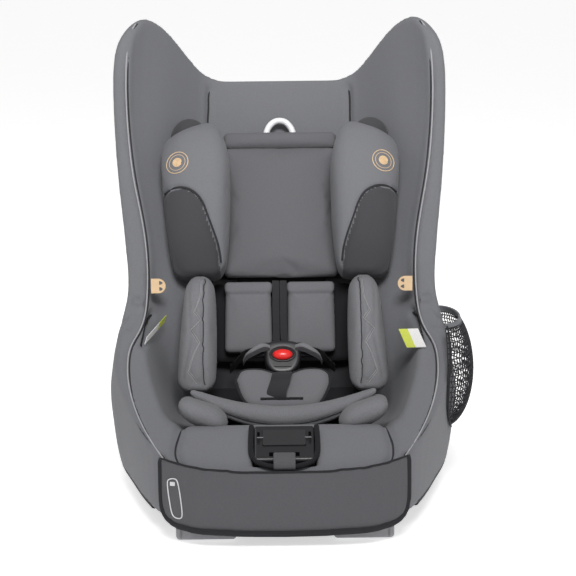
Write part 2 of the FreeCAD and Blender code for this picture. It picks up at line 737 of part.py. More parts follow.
def main():
    os.makedirs(PARTS, exist_ok=True)
    shapes = {"seat_shell": seat_shell()}
    shapes.update(cover_parts())
    singles = (base_shell, foot_pads, base_screws, recline_axle, latch_linkage, recline_handle,
               latch_springs, tether_plate, yoke, rear_straps, adjuster_strap, crotch_anchor,
               crotch_strap, crotch_pad, insert_back, insert_seat, insert_roll, buckle_housing,
               buckle_button, adjuster_housing, adjuster_button, strap_tail, apron,
               headrest_frame, headrest_rods, harness_carrier, headrest_pad, headrest_flap,
               headrest_handle, handle_latch_bar, handle_springs)
    for make in singles:
        shapes[make.__name__] = make()
    for make in (foot, insert_bolster, insert_lobe, buckle_tongue, shoulder_pad):
        for name, side in SIDES:
            shapes[make.__name__ + "_" + name] = make(side)
    groups = (hinge_lug, recline_rack, rod_guide, lap_strap, shoulder_strap, gold_tab, belt_tag)
    for make in groups:
        pair = [solid for _, side in SIDES for solid in make(side).Solids]
        shapes[make.__name__ + "s"] = Part.makeCompound(pair)
    for name, wing in headrest_wings().items():
        shapes["headrest_wing_" + name] = wing
    shapes["mesh_pocket"], shapes["pocket_band"] = mesh_pocket()
    for name, shape in shapes.items():
        export(name, shape)
        print(name, round(shape.Volume), len(shape.Solids), shape.isValid())


main()
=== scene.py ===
import bpy
import bmesh
import math
import numpy as np
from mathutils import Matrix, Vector
from mathutils.bvhtree import BVHTree


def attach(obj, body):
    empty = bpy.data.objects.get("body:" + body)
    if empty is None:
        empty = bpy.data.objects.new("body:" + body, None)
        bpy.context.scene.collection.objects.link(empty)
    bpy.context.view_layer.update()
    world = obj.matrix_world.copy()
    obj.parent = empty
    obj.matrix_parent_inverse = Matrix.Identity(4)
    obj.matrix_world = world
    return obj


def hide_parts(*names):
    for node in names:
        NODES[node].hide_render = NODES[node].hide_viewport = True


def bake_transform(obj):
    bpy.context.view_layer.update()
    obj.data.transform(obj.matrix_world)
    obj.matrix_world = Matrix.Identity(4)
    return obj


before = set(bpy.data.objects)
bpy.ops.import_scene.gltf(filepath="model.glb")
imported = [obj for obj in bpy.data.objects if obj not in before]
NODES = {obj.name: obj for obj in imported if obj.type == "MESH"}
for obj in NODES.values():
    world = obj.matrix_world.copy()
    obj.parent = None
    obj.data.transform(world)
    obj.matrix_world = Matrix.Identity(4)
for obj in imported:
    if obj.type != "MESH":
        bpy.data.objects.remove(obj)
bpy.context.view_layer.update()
MM = 0.001
SIDES = (("left", -1), ("right", 1))

# Backrest axes: x, depth into the backrest, height along it (mm)
LEAN = math.radians(27.5)
BACK_FOOT = (70.0, 190.0)
# Thickness of the padding and of the cover's skin
PAD, SKIN = 26.0, 4.0

# Tilted parts on the seat: y, z and tilt from upright
ADJUSTER = (-229.0, 119.0, math.radians(61.0))
CROTCH = (-86.0, 150.0, math.radians(50.0))
BUCKLE = (-36.0, 178.0, math.radians(40.0))
# Half width of the adjuster
ADJUSTER_HALF = 38.0

# Round mark on a headrest wing, across and up the backrest, and the height where the inset ends, whose darker
# colour is painted shade
MARK = (140, 206)
INSET_TOP = 172
# A depth in front of everything, from which points are thrown onto a surface
IN_FRONT = -300

# Studio: where the lights aim (m), the floor's own light, the light of the surroundings
STUDIO_AIM = (0, 0, 0.3)
FLOOR_GLOW = 0.58
WORLD_GLOW = 0.41
# Frames that the cushions are swelled for
SWELL_FRAMES = 20

# Plan sections of the seat: z, back depth, back half width, widest half width and its y,
# flank half width, front half width
OUTER = (
    (10, 208, 112, 214, 10, 196, 160),
    (40, 214, 116, 223, 0, 201, 162),
    (90, 222, 120, 227.5, -20, 208, 164),
    (150, 230, 122, 229, -30, 214, 168),
    (205, 240, 122, 219, 0, 216, 178),
    (260, 248, 121, 209, 35, 208, 185),
    (330, 258, 119, 214, 52, 212, 190),
    (420, 270, 117, 223, 70, 222, 196),
    (512, 281, 114, 228, 88, 228, 200),
    (575, 287, 108, 226, 95, 228, 200),
    (605, 289, 104, 215, 100, 217, 194),
    (632, 290, 100, 190, 105, 192, 180),
)
# Inner sections: z, corner half width, half width at the rim and its y, flank, front
INNER = (
    (60, 96, 122, 20, 128, 126),
    (110, 100, 140, 10, 146, 136),
    (150, 100, 156, 0, 164, 148),
    (205, 98, 172, 0, 182, 168),
    (260, 96, 178, 25, 190, 178),
    (330, 98, 182, 45, 194, 182),
    (420, 100, 198, 62, 206, 190),
    (512, 102, 208, 78, 214, 196),
    (640, 98, 200, 100, 208, 190),
)
SEAT_LINE = ((-300, 66), (-268, 94), (-240, 117), (-200, 133), (-150, 121),
             (-100, 104), (-55, 94), (-15, 92), (25, 106), (50, 142))
RIM_LINE = ((-262, 96), (-245, 110), (-180, 141), (-110, 175), (-60, 202),
            (-20, 232), (14, 262), (34, 310), (50, 380), (66, 450),
            (80, 515), (90, 570), (104, 604), (132, 621), (166, 611),
            (198, 583), (228, 545), (247, 519))


# --- numbers and curves
def smooth_curve(points, steps):
    """Catmull-Rom points through a list of points."""
    pts = np.asarray(points, float)
    ext = np.vstack([2 * pts[0] - pts[1], pts, 2 * pts[-1] - pts[-2]])
    out = []
    for i in range(1, len(ext) - 2):
        a, b, c, d = ext[i - 1:i + 3]
        for t in np.linspace(0, 1, steps, endpoint=False):
            out.append(0.5 * (2 * b + (c - a) * t + (2 * a - 5 * b + 4 * c - d) * t ** 2
                              + (3 * b - a - 3 * c + d) * t ** 3))
    out.append(ext[-2])
    return np.array(out)


def closed_curve(points, steps):
    """A smooth ring through a list of points."""
    points = list(points)
    return smooth_curve(points + points[:1], steps)[:-1]


def between(a, b, count, endpoint=True):
    """Evenly spaced points from a to b."""
    a, b = np.array(a, float), np.array(b, float)
    return [tuple(a + (b - a) * t) for t in np.linspace(0, 1, count, endpoint=endpoint)]


def mirrored(points, side):
    return [(side * x, *rest) for x, *rest in points]


def sided(side, low, high):
    """The corners of a box drawn on the right, moved to a side."""
    x = sorted((side * low[0], side * high[0]))
    return (x[0], *low[1:]), (x[1], *high[1:])


def on_back(x, depth, height):
    s, c = math.sin(LEAN), math.cos(LEAN)
    return (x, BACK_FOOT[0] + depth * c + height * s, BACK_FOOT[1] - depth * s + height * c)


def on_part(part, x, thick, along):
    """A point of a tilted part: across it, through it and along it."""
    y, z, tilt = part
    return (x, y + thick * math.cos(tilt) + along * math.sin(tilt),
            z - thick * math.sin(tilt) + along * math.cos(tilt))


def on_crotch(x, thick, along):
    return on_part(CROTCH, x, thick, along)


def on_buckle(x, thick, along):
    return on_part(BUCKLE, x, thick, along)


def on_adjuster(x, thick, along):
    return on_part(ADJUSTER, x, thick, along)


def lengthwise(place):
    """Direction along a tilted part."""
    return np.array(place(0, 0, 1)) - np.array(place(0, 0, 0))


INTO_BACK = Vector(on_back(0, 1, 0)) - Vector(on_back(0, 0, 0))


def back_axes(Y, Z):
    """Depth and height in backrest axes of points given in the side view."""
    s, c = math.sin(LEAN), math.cos(LEAN)
    y, z = Y - BACK_FOOT[0], Z - BACK_FOOT[1]
    return y * c - z * s, y * s + z * c


def table_row(table, z):
    """A row of a section table at a height, smoothly between its rows."""
    arr = np.array(table, float)
    z = min(max(z, arr[0, 0]), arr[-1, 0])
    i = int(np.clip(np.searchsorted(arr[:, 0], z) - 1, 0, len(arr) - 2))
    h = arr[i + 1, 0] - arr[i, 0]
    t = (z - arr[i, 0]) / h
    before, after = arr[max(i - 1, 0)], arr[min(i + 2, len(arr) - 1)]
    m0 = (arr[i + 1] - before) / (arr[i + 1, 0] - before[0]) * h
    m1 = (after - arr[i]) / (after[0] - arr[i, 0]) * h
    h00, h10 = 2 * t ** 3 - 3 * t ** 2 + 1, t ** 3 - 2 * t ** 2 + t
    h01, h11 = -2 * t ** 3 + 3 * t ** 2, t ** 3 - t ** 2
    return (h00 * arr[i] + h10 * m0 + h01 * arr[i + 1] + h11 * m1)[1:]


def back_face_y(z):
    return BACK_FOOT[0] + (z - BACK_FOOT[1]) * math.tan(LEAN)


def outer_outline(z):
    back_y, back_x, wide_x, wide_y, flank_x, front_x = table_row(OUTER, z)
    mid = ((back_x + wide_x) / 2 + 9, (back_y - 22 + wide_y) / 2 + 12)
    half = [(0.6 * back_x, back_y - 2), (back_x, back_y - 20), mid, (wide_x, wide_y),
            (flank_x, -110), (front_x, -225), (0.72 * front_x, -262), (0.4 * front_x, -270)]
    return smooth_curve([(-x, y) for x, y in half][::-1] + [(0, back_y)] + half, 5)


def inner_outline(z):
    corner_x, rim_x, rim_y, flank_x, front_x = table_row(INNER, z)
    back_y, corner_y = back_face_y(z) + 40, back_face_y(z) - 6
    middle = ((corner_x + rim_x) / 2, (corner_y + rim_y) / 2)
    half = [(0.55 * corner_x, back_y), (corner_x, corner_y), middle, (rim_x, rim_y), (flank_x, rim_y - 90),
            (front_x, -228), (front_x, -300)]
    return smooth_curve([(-x, y) for x, y in half][::-1] + [(0, back_y + 6)] + half, 5)


def polygon_distance(X, Y, outline):
    """Signed distance in a plane to a closed outline, negative inside."""
    best = np.full(X.shape, 1e9)
    inside = np.zeros(X.shape, bool)
    ring = np.vstack([outline, outline[:1]])
    for (ax, ay), (bx, by) in zip(ring[:-1], ring[1:]):
        ex, ey = bx - ax, by - ay
        wx, wy = X - ax, Y - ay
        t = np.clip((wx * ex + wy * ey) / max(ex * ex + ey * ey, 1e-9), 0, 1)
        best = np.minimum(best, (wx - ex * t) ** 2 + (wy - ey * t) ** 2)
        crosses = (ay > Y) != (by > Y)
        if ay != by:
            inside ^= crosses & (X < ex * (Y - ay) / (by - ay) + ax)
    return np.where(inside, -1.0, 1.0) * np.sqrt(best)


def by_height(X, Y, Z, outline):
    """Distance to an outline that changes with height, slice by slice."""
    out = np.empty(X.shape)
    for k in range(X.shape[2]):
        out[:, :, k] = polygon_distance(X[:, :, k], Y[:, :, k], outline(Z[0, 0, k]))
    return out


def face_on(X, Z, outline):
    """Distance to an outline seen from the front, the same at every depth."""
    return polygon_distance(X[:, 0], Z[:, 0], outline)[:, None] + 0 * X


def side_on(X, Y, Z, outline):
    """Distance to an outline seen from the side, the same at every width."""
    return polygon_distance(Y[0], Z[0], outline)[None] + 0 * X


def soft_max(a, b, k):
    h = np.clip(0.5 - 0.5 * (b - a) / k, 0, 1)
    return b + (a - b) * h + k * h * (1 - h)


# --- meshes from fields
def surface_net(values, origin, step):
    """A closed quad mesh on the zero level of a field sampled on a regular grid."""
    inside = values < 0
    shape = np.array(values.shape) - 1
    corners = [(i, j, k) for i in (0, 1) for j in (0, 1) for k in (0, 1)]

    def corner(array, c):
        return array[c[0]:c[0] + shape[0], c[1]:c[1] + shape[1], c[2]:c[2] + shape[2]]

    count = sum(corner(inside, c).astype(np.int8) for c in corners)
    cells = np.argwhere((count > 0) & (count < 8))
    index = np.full(shape, -1, np.int64)
    index[tuple(cells.T)] = np.arange(len(cells))
    total, hits = np.zeros((len(cells), 3)), np.zeros(len(cells))
    for a in corners:
        for axis in range(3):
            if a[axis]:
                continue
            b = list(a)
            b[axis] = 1
            va = corner(values, a)[tuple(cells.T)]
            vb = corner(values, b)[tuple(cells.T)]
            cut = (va < 0) != (vb < 0)
            t = np.where(cut, va / np.where(va == vb, 1, va - vb), 0)
            p = np.tile(np.array(a, float), (len(cells), 1))
            p[:, axis] += t
            total[cut] += p[cut]
            hits += cut
    points = (cells + total / hits[:, None]) * step + np.array(origin)
    faces = []
    for axis in range(3):
        u, v = (axis + 1) % 3, (axis + 2) % 3
        low = [slice(1, -1)] * 3
        high = [slice(1, -1)] * 3
        low[axis], high[axis] = slice(0, -1), slice(1, None)
        a, b = inside[tuple(low)], inside[tuple(high)]
        at = np.argwhere(a != b)
        flip = a[tuple(at.T)]
        base = at + 1
        base[:, axis] -= 1
        ring = []
        for du, dv in ((0, 0), (1, 0), (1, 1), (0, 1)):
            cell = base.copy()
            cell[:, u] -= du
            cell[:, v] -= dv
            ring.append(index[tuple(cell.T)])
        quad = np.stack(ring, 1)
        quad[~flip] = quad[~flip][:, ::-1]
        faces.append(quad)
    return points, np.vstack(faces)


def new_object(name, points, faces, smooth=True):
    """Mesh object from points in millimetres."""
    mesh = bpy.data.meshes.new(name)
    mesh.from_pydata((np.asarray(points) * MM).tolist(), [], [list(map(int, f)) for f in faces])
    mesh.validate()
    if smooth:
        mesh.shade_smooth()
    obj = bpy.data.objects.new(name, mesh)
    bpy.context.scene.collection.objects.link(obj)
    return obj


def grid(low, high, step):
    axes = [np.arange(a, b + step, step, dtype=float) for a, b in zip(low, high)]
    return np.meshgrid(*axes, indexing="ij")


def vertex_array(obj):
    co = np.empty(len(obj.data.vertices) * 3)
    obj.data.vertices.foreach_get("co", co)
    return co.reshape(-1, 3) / MM


def set_vertices(obj, points):
    obj.data.vertices.foreach_set("co", (np.asarray(points) * MM).ravel())
    obj.data.update()


def vertex_normals(obj):
    no = np.empty(len(obj.data.vertices) * 3)
    obj.data.vertex_normals.foreach_get("vector", no)
    return no.reshape(-1, 3)


def smooth_vertices(obj, rounds, weight=0.5):
    """Average each vertex with its neighbours, without shrinking the whole."""
    edges = np.empty(len(obj.data.edges) * 2, np.int64)
    obj.data.edges.foreach_get("vertices", edges)
    a, b = edges.reshape(-1, 2).T
    points = vertex_array(obj)
    degree = np.bincount(np.concatenate([a, b]), minlength=len(points))[:, None]
    for i in range(rounds * 2):
        total = np.zeros_like(points)
        np.add.at(total, a, points[b])
        np.add.at(total, b, points[a])
        factor = weight if i % 2 == 0 else -weight * 1.02
        points += factor * (total / degree - points)
    set_vertices(obj, points)


def line_distance(points, line):
    """Distance of each point to a polyline."""
    line = np.asarray(line, float)
    best = np.full(len(points), 1e9)
    for a, b in zip(line[:-1], line[1:]):
        e = b - a
        w = points - a
        t = np.clip(w @ e / max(e @ e, 1e-9), 0, 1)
        best = np.minimum(best, np.linalg.norm(w - t[:, None] * e, axis=1))
    return best


# --- the bucket's field
def face_line():
    points = list(SEAT_LINE) + [on_back(0, 0, h)[1:] for h in (0, 60, 200, 506)]
    return smooth_curve(points, 5)


def rear_fullness(y, z):
    """How far the cover stands proud of the outer section where it wraps the shell's rear corners."""
    low = 5.0 * np.exp(-((y - 188) / 42) ** 2 - ((z - 115) / 105) ** 4)
    return low + 1.6 / (1 + np.exp(-(y - 130) / 12))


def rear_line(z):
    """Where the cover's edge runs on the back of the shell, as y at a height."""
    return 178 + 0.144 * z


def bucket_fields(step):
    """Distances to the outer and inner sections, the side profile and the seating face, for one half."""
    low, high = (0.0, -292.0, 18.0), (244.0, 304.0, 636.0)
    X, Y, Z = grid(low, high, step)
    outer = by_height(X, Y, Z, outer_outline) - rear_fullness(Y, Z)
    inner = by_height(X, Y, Z, inner_outline)
    rim = smooth_curve(RIM_LINE, 4)
    profile = np.vstack([rim, [(256, 515), (450, 515), (450, 28), (-275, 28), (-275, 80)]])
    line = face_line()
    above = np.vstack([line, [(600, 900), (-900, 900), (-900, line[0][1])]])
    return X, Y, Z, outer, inner, side_on(X, Y, Z, profile), side_on(X, Y, Z, above), low


def main_cover():
    """The cover as one sewn bucket, hollow over the shell and open at the adjuster and under the seat."""
    step = 4.0
    X, Y, Z, outer, inner, profile, above, low = bucket_fields(step)
    body = soft_max(outer, profile, 12.0)
    cavity = soft_max(inner, above, 22.0)
    field = soft_max(body, -cavity, 9.0)
    wall = outer + rear_fullness(Y, Z)
    hollow = np.maximum(wall + SKIN + 1.8, -(above - PAD - 1.5))
    field = np.maximum(field, -hollow)
    behind = np.maximum(rear_line(Z) - Y, -(wall + SKIN + 2.2))
    field = np.maximum(field, -np.maximum(behind, -(above - PAD)))
    field = np.maximum(field, -np.maximum(np.maximum(X - 152, Y + 200), Z - 66))
    y, z, tilt = ADJUSTER
    thick = (Y - y) * math.cos(tilt) - (Z - z) * math.sin(tilt)
    along = (Y - y) * math.sin(tilt) + (Z - z) * math.cos(tilt)
    room = np.maximum(np.maximum(X - ADJUSTER_HALF - 2, np.abs(along) - 32), np.abs(thick + 6) - 36)
    field = soft_max(field, -room, 3.0)
    field = np.concatenate([field[:0:-1], field], 0)
    points, faces = surface_net(field, (-(X.shape[0] - 1) * step, low[1], low[2]), step)
    cover = new_object("seat_cover", points, faces)
    smooth_vertices(cover, 3)
    return cover


# --- lines and grooves on a surface
def surface_tree(obj):
    polygons = [tuple(p.vertices) for p in obj.data.polygons]
    return BVHTree.FromPolygons([tuple(v) for v in vertex_array(obj)], polygons)


def snapped(line, tree, lift=0.0):
    """Points moved to the nearest place on a surface, lifted along its normal."""
    out = []
    for p in line:
        place, normal, _, _ = tree.find_nearest(Vector(p))
        out.append(place + normal * lift)
    return np.array(out)


def cast(line, tree, direction, lift=0.0):
    """Points thrown onto a surface along a direction."""
    out = []
    step = Vector(direction).normalized()
    for p in line:
        place, normal, _, _ = tree.ray_cast(Vector(p) - step * 400, step)
        if place is not None:
            out.append(place + normal * lift)
    return np.array(out)


def onto_back(places, tree, lift=0.0):
    """Points given across and up the backrest, thrown straight at it onto a surface."""
    return cast([on_back(x, -60, s) for x, s in places], tree, INTO_BACK, lift)


def inner_wall(side, places, tree, lift=0.0):
    """Points of the seat's inside wall at given depths and heights, looking outwards from the middle."""
    out = []
    for y, z in places:
        place, normal, _, _ = tree.ray_cast(Vector((0, y, z)), Vector((side, 0, 0)))
        if place is not None:
            out.append(place + normal * lift)
    return np.array(out)


def evened(line, rounds=4):
    """A line with its small wobbles taken out, its ends kept."""
    line = np.array(line, float)
    for _ in range(rounds):
        line[1:-1] += 0.5 * ((line[:-2] + line[2:]) / 2 - line[1:-1])
    return line


def groove(obj, line, depth, width):
    """Press a smooth channel into a surface along a line; a negative depth raises a ridge."""
    points = vertex_array(obj)
    distance = line_distance(points, line)
    points -= vertex_normals(obj) * (depth * np.exp(-(distance / width) ** 2))[:, None]
    set_vertices(obj, points)


def link_curve(name, data, material):
    obj = bpy.data.objects.new(name, data)
    obj.data.materials.append(material)
    bpy.context.scene.collection.objects.link(obj)
    return obj


def tube(name, points, radius, material, smooth=True, closed=False):
    """A round cord along points in millimetres."""
    data = bpy.data.curves.new(name, "CURVE")
    data.dimensions = "3D"
    data.bevel_depth = radius * MM
    data.bevel_resolution = 2
    data.use_fill_caps = True
    spline = data.splines.new("NURBS" if smooth else "POLY")
    spline.points.add(len(points) - 1)
    for place, point in zip(points, spline.points):
        point.co = (*(np.asarray(place, float) * MM), 1)
    spline.use_cyclic_u = closed
    if smooth:
        spline.order_u = 3
        spline.use_endpoint_u = not closed
    spline.resolution_u = 3
    return link_curve(name, data, material)


BAND_SECTION = ((-0.5, -0.25), (-0.44, -0.5), (0.44, -0.5), (0.5, -0.25), (0.5, 0.25), (0.44, 0.5),
                (-0.44, 0.5), (-0.5, 0.25))


def band(name, points, across, width, thickness, material):
    """Flat webbing along points: across gives the width's direction at each point."""
    points = np.asarray(points, float)
    across = np.asarray(across, float)
    if across.ndim == 1:
        across = np.tile(across, (len(points), 1))
    across /= np.linalg.norm(across, axis=1)[:, None]
    widths = np.broadcast_to(width, (len(points),))
    along = np.gradient(points, axis=0)
    along /= np.linalg.norm(along, axis=1)[:, None]
    normal = np.cross(across, along)
    verts = [points[i] + across[i] * u * widths[i] + normal[i] * v * thickness
             for i in range(len(points)) for u, v in BAND_SECTION]
    faces = []
    count = len(BAND_SECTION)
    for i in range(len(points) - 1):
        for k in range(count):
            a, b = i * count + k, i * count + (k + 1) % count
            faces.append((a, b, b + count, a + count))
    faces.append(tuple(range(count))[::-1])
    faces.append(tuple(range((len(points) - 1) * count, len(points) * count)))
    obj = new_object(name, verts, faces, smooth=False)
    obj.data.materials.append(material)
    return obj


def field_object(name, field, low, high, step, place=None):
    """A closed mesh from a distance field in its own axes, placed by a function of those axes."""
    axes = grid(low, high, step)
    points, faces = surface_net(field(*axes), [float(v) for v in low], step)
    if place is not None:
        points = np.array([place(*p) for p in points])
    obj = new_object(name, points, faces)
    smooth_vertices(obj, 2)
    return obj


def box_field(P, centre, half, radius):
    q = [np.abs(p - c) - h + radius for p, c, h in zip(P, centre, half)]
    outside = np.sqrt(sum(np.maximum(v, 0) ** 2 for v in q))
    return outside + np.minimum(np.maximum.reduce(q), 0) - radius


def pillow(distance, across, half, edge):
    """Crowned form over an outline: half thick in the middle, thinning to the outline."""
    t = np.clip(-distance / edge, 0, 1)
    height = half * np.sqrt(1 - (1 - t) ** 2)
    return np.maximum(np.abs(across) - height, distance)


# --- materials
def shader_nodes(name):
    material = bpy.data.materials.new(name)
    material.use_nodes = True
    nodes, links = material.node_tree.nodes, material.node_tree.links
    return material, nodes, links, nodes["Principled BSDF"]


def set_inputs(node, values):
    for key, value in values.items():
        node.inputs[key].default_value = value


def noise_colour(nodes, links, shader, colour, spread, scale):
    """Faint unevenness in a colour."""
    coords = nodes.new("ShaderNodeTexCoord")
    noise = nodes.new("ShaderNodeTexNoise")
    set_inputs(noise, {"Scale": scale, "Detail": 4})
    links.new(coords.outputs["Object"], noise.inputs["Vector"])
    ramp = nodes.new("ShaderNodeValToRGB")
    for element, place, sign in zip(ramp.color_ramp.elements, (0.35, 0.65), (-1, 1)):
        element.position = place
        element.color = (*[min(c * (1 + sign * spread), 1) for c in colour], 1)
    links.new(noise.outputs["Fac"], ramp.inputs["Fac"])
    links.new(ramp.outputs["Color"], shader.inputs["Base Color"])
    return coords


def add_bump(nodes, links, shader, height, strength, distance):
    normal = nodes.new("ShaderNodeBump")
    set_inputs(normal, {"Strength": strength, "Distance": distance})
    links.new(height, normal.inputs["Height"])
    links.new(normal.outputs["Normal"], shader.inputs["Normal"])


def fabric(name, colour, weave=900.0, bump=0.2, spread=0.05, sheen=0.08):
    """Woven cloth: two crossed waves of threads."""
    material, nodes, links, shader = shader_nodes(name)
    coords = noise_colour(nodes, links, shader, colour, spread, 700.0)
    set_inputs(shader, {"Roughness": 0.85, "Sheen Weight": sheen, "Sheen Roughness": 0.5,
                        "Specular IOR Level": 0.2})
    mix = nodes.new("ShaderNodeMath")
    mix.operation = "MULTIPLY"
    for slot, direction in enumerate(("X", "Z")):
        wave = nodes.new("ShaderNodeTexWave")
        wave.bands_direction = direction
        set_inputs(wave, {"Scale": weave, "Distortion": 1.5})
        links.new(coords.outputs["Object"], wave.inputs["Vector"])
        links.new(wave.outputs["Fac"], mix.inputs[slot])
    add_bump(nodes, links, shader, mix.outputs["Value"], bump, 0.0004)
    return material


def plastic(name, colour, rough=0.4, metallic=0.0):
    """Moulded plastic or metal with a fine grain."""
    material, nodes, links, shader = shader_nodes(name)
    coords = noise_colour(nodes, links, shader, colour, 0.04, 60.0)
    set_inputs(shader, {"Roughness": rough, "Metallic": metallic})
    grain = nodes.new("ShaderNodeTexNoise")
    set_inputs(grain, {"Scale": 900.0})
    links.new(coords.outputs["Object"], grain.inputs["Vector"])
    add_bump(nodes, links, shader, grain.outputs["Fac"], 0.12, 0.0002)
    return material


def make_materials():
    return {
        "cover": fabric("cover_fabric", (0.150, 0.152, 0.163)),
        "panel": fabric("headrest_fabric", (0.118, 0.118, 0.127)),
        # Dark lining fabric, partly the real lining panel and partly painted shade of the seat's deep hollow
        "lining_and_shade": fabric("lining_and_painted_shade", (0.028, 0.028, 0.031), sheen=0.05),
        # Painted shade: the cover's grey darkened for the wings' lower insets and caps
        "inset": fabric("inset_painted_shade", (0.055, 0.055, 0.06)),
        "insert": fabric("insert_fabric", (0.160, 0.161, 0.171), spread=0.08),
        "apron": fabric("apron_fabric", (0.083, 0.083, 0.09)),
        "sleeve": fabric("sleeve_fabric", (0.16, 0.16, 0.17)),
        "pad": fabric("pad_fabric", (0.14, 0.14, 0.15)),
        # Black lining fabric, also used as painted shade for the crotch pad's slot
        "dark": fabric("black_lining_and_slot_shade", (0.012, 0.012, 0.014), sheen=0.05),
        "binding": fabric("binding_tape", (0.018, 0.018, 0.021), weave=1400.0, sheen=0.1),
        "piping": fabric("piping_cord", (0.33, 0.33, 0.345), weave=1800.0, sheen=0.1),
        "stitch": fabric("stitch_thread", (0.30, 0.30, 0.31), weave=2500.0, sheen=0.0),
        "seam": fabric("seam_shadow", (0.03, 0.03, 0.033), weave=1800.0, sheen=0.0),
        "webbing": fabric("harness_webbing", (0.028, 0.028, 0.031), weave=1100.0, bump=0.5, sheen=0.1),
        "webbing_light": fabric("pull_webbing", (0.09, 0.09, 0.096), weave=1100.0, bump=0.5, sheen=0.1),
        "net": fabric("pocket_net", (0.03, 0.03, 0.034), weave=1500.0, sheen=0.05),
        "black": plastic("black_plastic", (0.012, 0.012, 0.014), 0.38),
        "shell": plastic("shell_plastic", (0.02, 0.02, 0.022), 0.5),
        "foot": plastic("foot_plastic", (0.22, 0.22, 0.235), 0.42),
        "black_soft": plastic("button_plastic", (0.018, 0.018, 0.02), 0.5),
        "red": plastic("red_plastic", (0.72, 0.018, 0.016), 0.28),
        "white": plastic("white_plastic", (0.76, 0.76, 0.78), 0.35),
        "grey": plastic("grey_plastic", (0.16, 0.16, 0.17), 0.3),
        "steel": plastic("brushed_steel", (0.55, 0.55, 0.57), 0.3, metallic=1.0),
        "rubber": plastic("foot_rubber", (0.025, 0.025, 0.025), 0.8),
        "gold": plastic("gold_print", (0.66, 0.47, 0.28), 0.45),
        "tag_white": fabric("tag_white", (0.72, 0.71, 0.70), sheen=0.0),
        "tag_yellow": fabric("tag_yellow", (0.55, 0.60, 0.10), sheen=0.0),
        "label": plastic("label_print", (0.55, 0.55, 0.56), 0.5),
    }


# --- soft pieces
def headrest_panel(name, low, high, crown):
    """One sewn panel of the headrest in backrest axes, between two heights."""
    middle, half = (low + high) / 2, (high - low) / 2

    def field(X, D, S):
        bulge = crown * np.clip(1 - (X / 80) ** 2, 0, 1) * np.clip(1 - ((S - middle) / half) ** 2, 0, 1)
        return box_field((X / 80 * 75, D + bulge * 0.5, S), (0, -34, middle), (75, 12, half), 8)

    return field_object(name, field, (-92, -66, low - 8), (92, -12, high + 8), 3.0, on_back)


WING_ROWS = ((58, 82, 142, -40, -102), (68, 77, 147, -36, -108),
             (110, 73, 154, -28, -126), (165, 71, 158, -28, -138),
             (215, 71, 163, -30, -139), (252, 79, 157, -34, -126),
             (276, 92, 142, -46, -104))
WING_FORM = ((0.06, 0.0), (0.0, 0.35), (0.0, 0.78), (0.12, 0.96), (0.38, 1.0), (0.72, 0.93), (0.95, 0.76),
             (1.0, 0.58), (0.9, 0.0))


def headrest_wing(side, name):
    """Side wing of the headrest with the round cap above it."""
    def section(s):
        inner, outer, back, front = table_row(WING_ROWS, s)
        ring = [(side * (inner + u * (outer - inner)), back - v * (back - front)) for u, v in WING_FORM]
        return closed_curve(ring, 4)

    def field(X, D, S):
        out = by_height(X, D, S, section)
        top = 278 - 0.42 * np.maximum(np.abs(X) - 96, 0)
        lobe = soft_max(out, np.maximum(60 - S, S - top), 16.0)
        cap = np.sqrt(((X - side * 126) / 27) ** 2 + ((D + 58) / 34) ** 2 + ((S - 262) / 30) ** 2) - 1
        return np.minimum(lobe, cap * 26)

    return field_object(name, field, *sided(side, (60, -150, 50), (172, -16, 300)), 2.5, on_back)


WING_SEAM = ((160, 171), (140, 172), (121, 164), (108, 150), (99, 125), (88, 95),
             (84, 70))


def two_tone(obj, main, second, *masks):
    """The second material goes on the faces that lie wholly inside one of the masks."""
    obj.data.materials.append(main)
    obj.data.materials.append(second)
    for polygon in obj.data.polygons:
        if any(mask[list(polygon.vertices)].all() for mask in masks):
            polygon.material_index = 1


def circle(x, s, radius, count):
    return [(x + radius * math.cos(a), s + radius * math.sin(a))
            for a in np.linspace(0, 2 * math.pi, count, endpoint=False)]


def finish_wing(wing, side, mats, name):
    """The curved inset seam, the inset and the cap on top in a darker copy of the cover fabric as painted
    shade, and the round mark.
    """
    tree = surface_tree(wing)
    seam = smooth_curve(mirrored(WING_SEAM, side), 6)
    line = evened(onto_back(seam, tree))
    points = vertex_array(wing)
    depth, height = back_axes(points[:, 1], points[:, 2])
    width = np.abs(points[:, 0])
    beyond = width - np.interp(height, seam[::-1, 1], np.abs(seam[::-1, 0]))
    below = np.where(height < INSET_TOP, 1.0, 0.0)
    drop = 3.0 + 17.0 * np.clip((INSET_TOP - height) / 100, 0, 1) ** 1.3
    sink = drop * below / (1 + np.exp(-beyond / 2.2)) * np.clip((-44 - depth) / 50, 0, 1)
    points += np.array(INTO_BACK) * sink[:, None]
    set_vertices(wing, points)
    groove(wing, line, 3.0, 3.0)
    # Painted shade: the inset below the seam and the cap on top get the cover's grey darkened, where they
    # turn away from the light
    inset = (beyond > -1.0) & (height < INSET_TOP) & (height > 40)
    cap = (height > 252 - 0.1 * (width - 96)) & (depth > -96) & (width > 100)
    two_tone(wing, mats["cover"], mats["inset"], inset, cap)
    tree = surface_tree(wing)
    pieces = [tube(name + "_seam", evened(snapped(line, tree, 0.2)), 1.5, mats["seam"])]
    for label, radius, size in (("outer", 15.0, 0.55), ("inner", 11.0, 0.35)):
        ring = onto_back(circle(side * MARK[0], MARK[1], radius, 40), tree, 0.2)
        pieces.append(tube(name + "_mark_" + label, ring, size, mats["gold"], closed=True))
    disc = [p for radius in (0.5, 2.2, 3.9, 5.6) for p in circle(side * MARK[0], MARK[1], radius, 18)]
    path = onto_back(disc, tree, 0.35)
    pieces.append(tube(name + "_mark_middle", path, 0.9, mats["gold"], smooth=False))
    return pieces


BOLSTER_SIDE = ((-26, 44), (-50, 60), (-82, 60), (-106, 36), (-114, -18), (-117, -70), (-110, -108),
                (-84, -104), (-44, -62), (-28, -18))


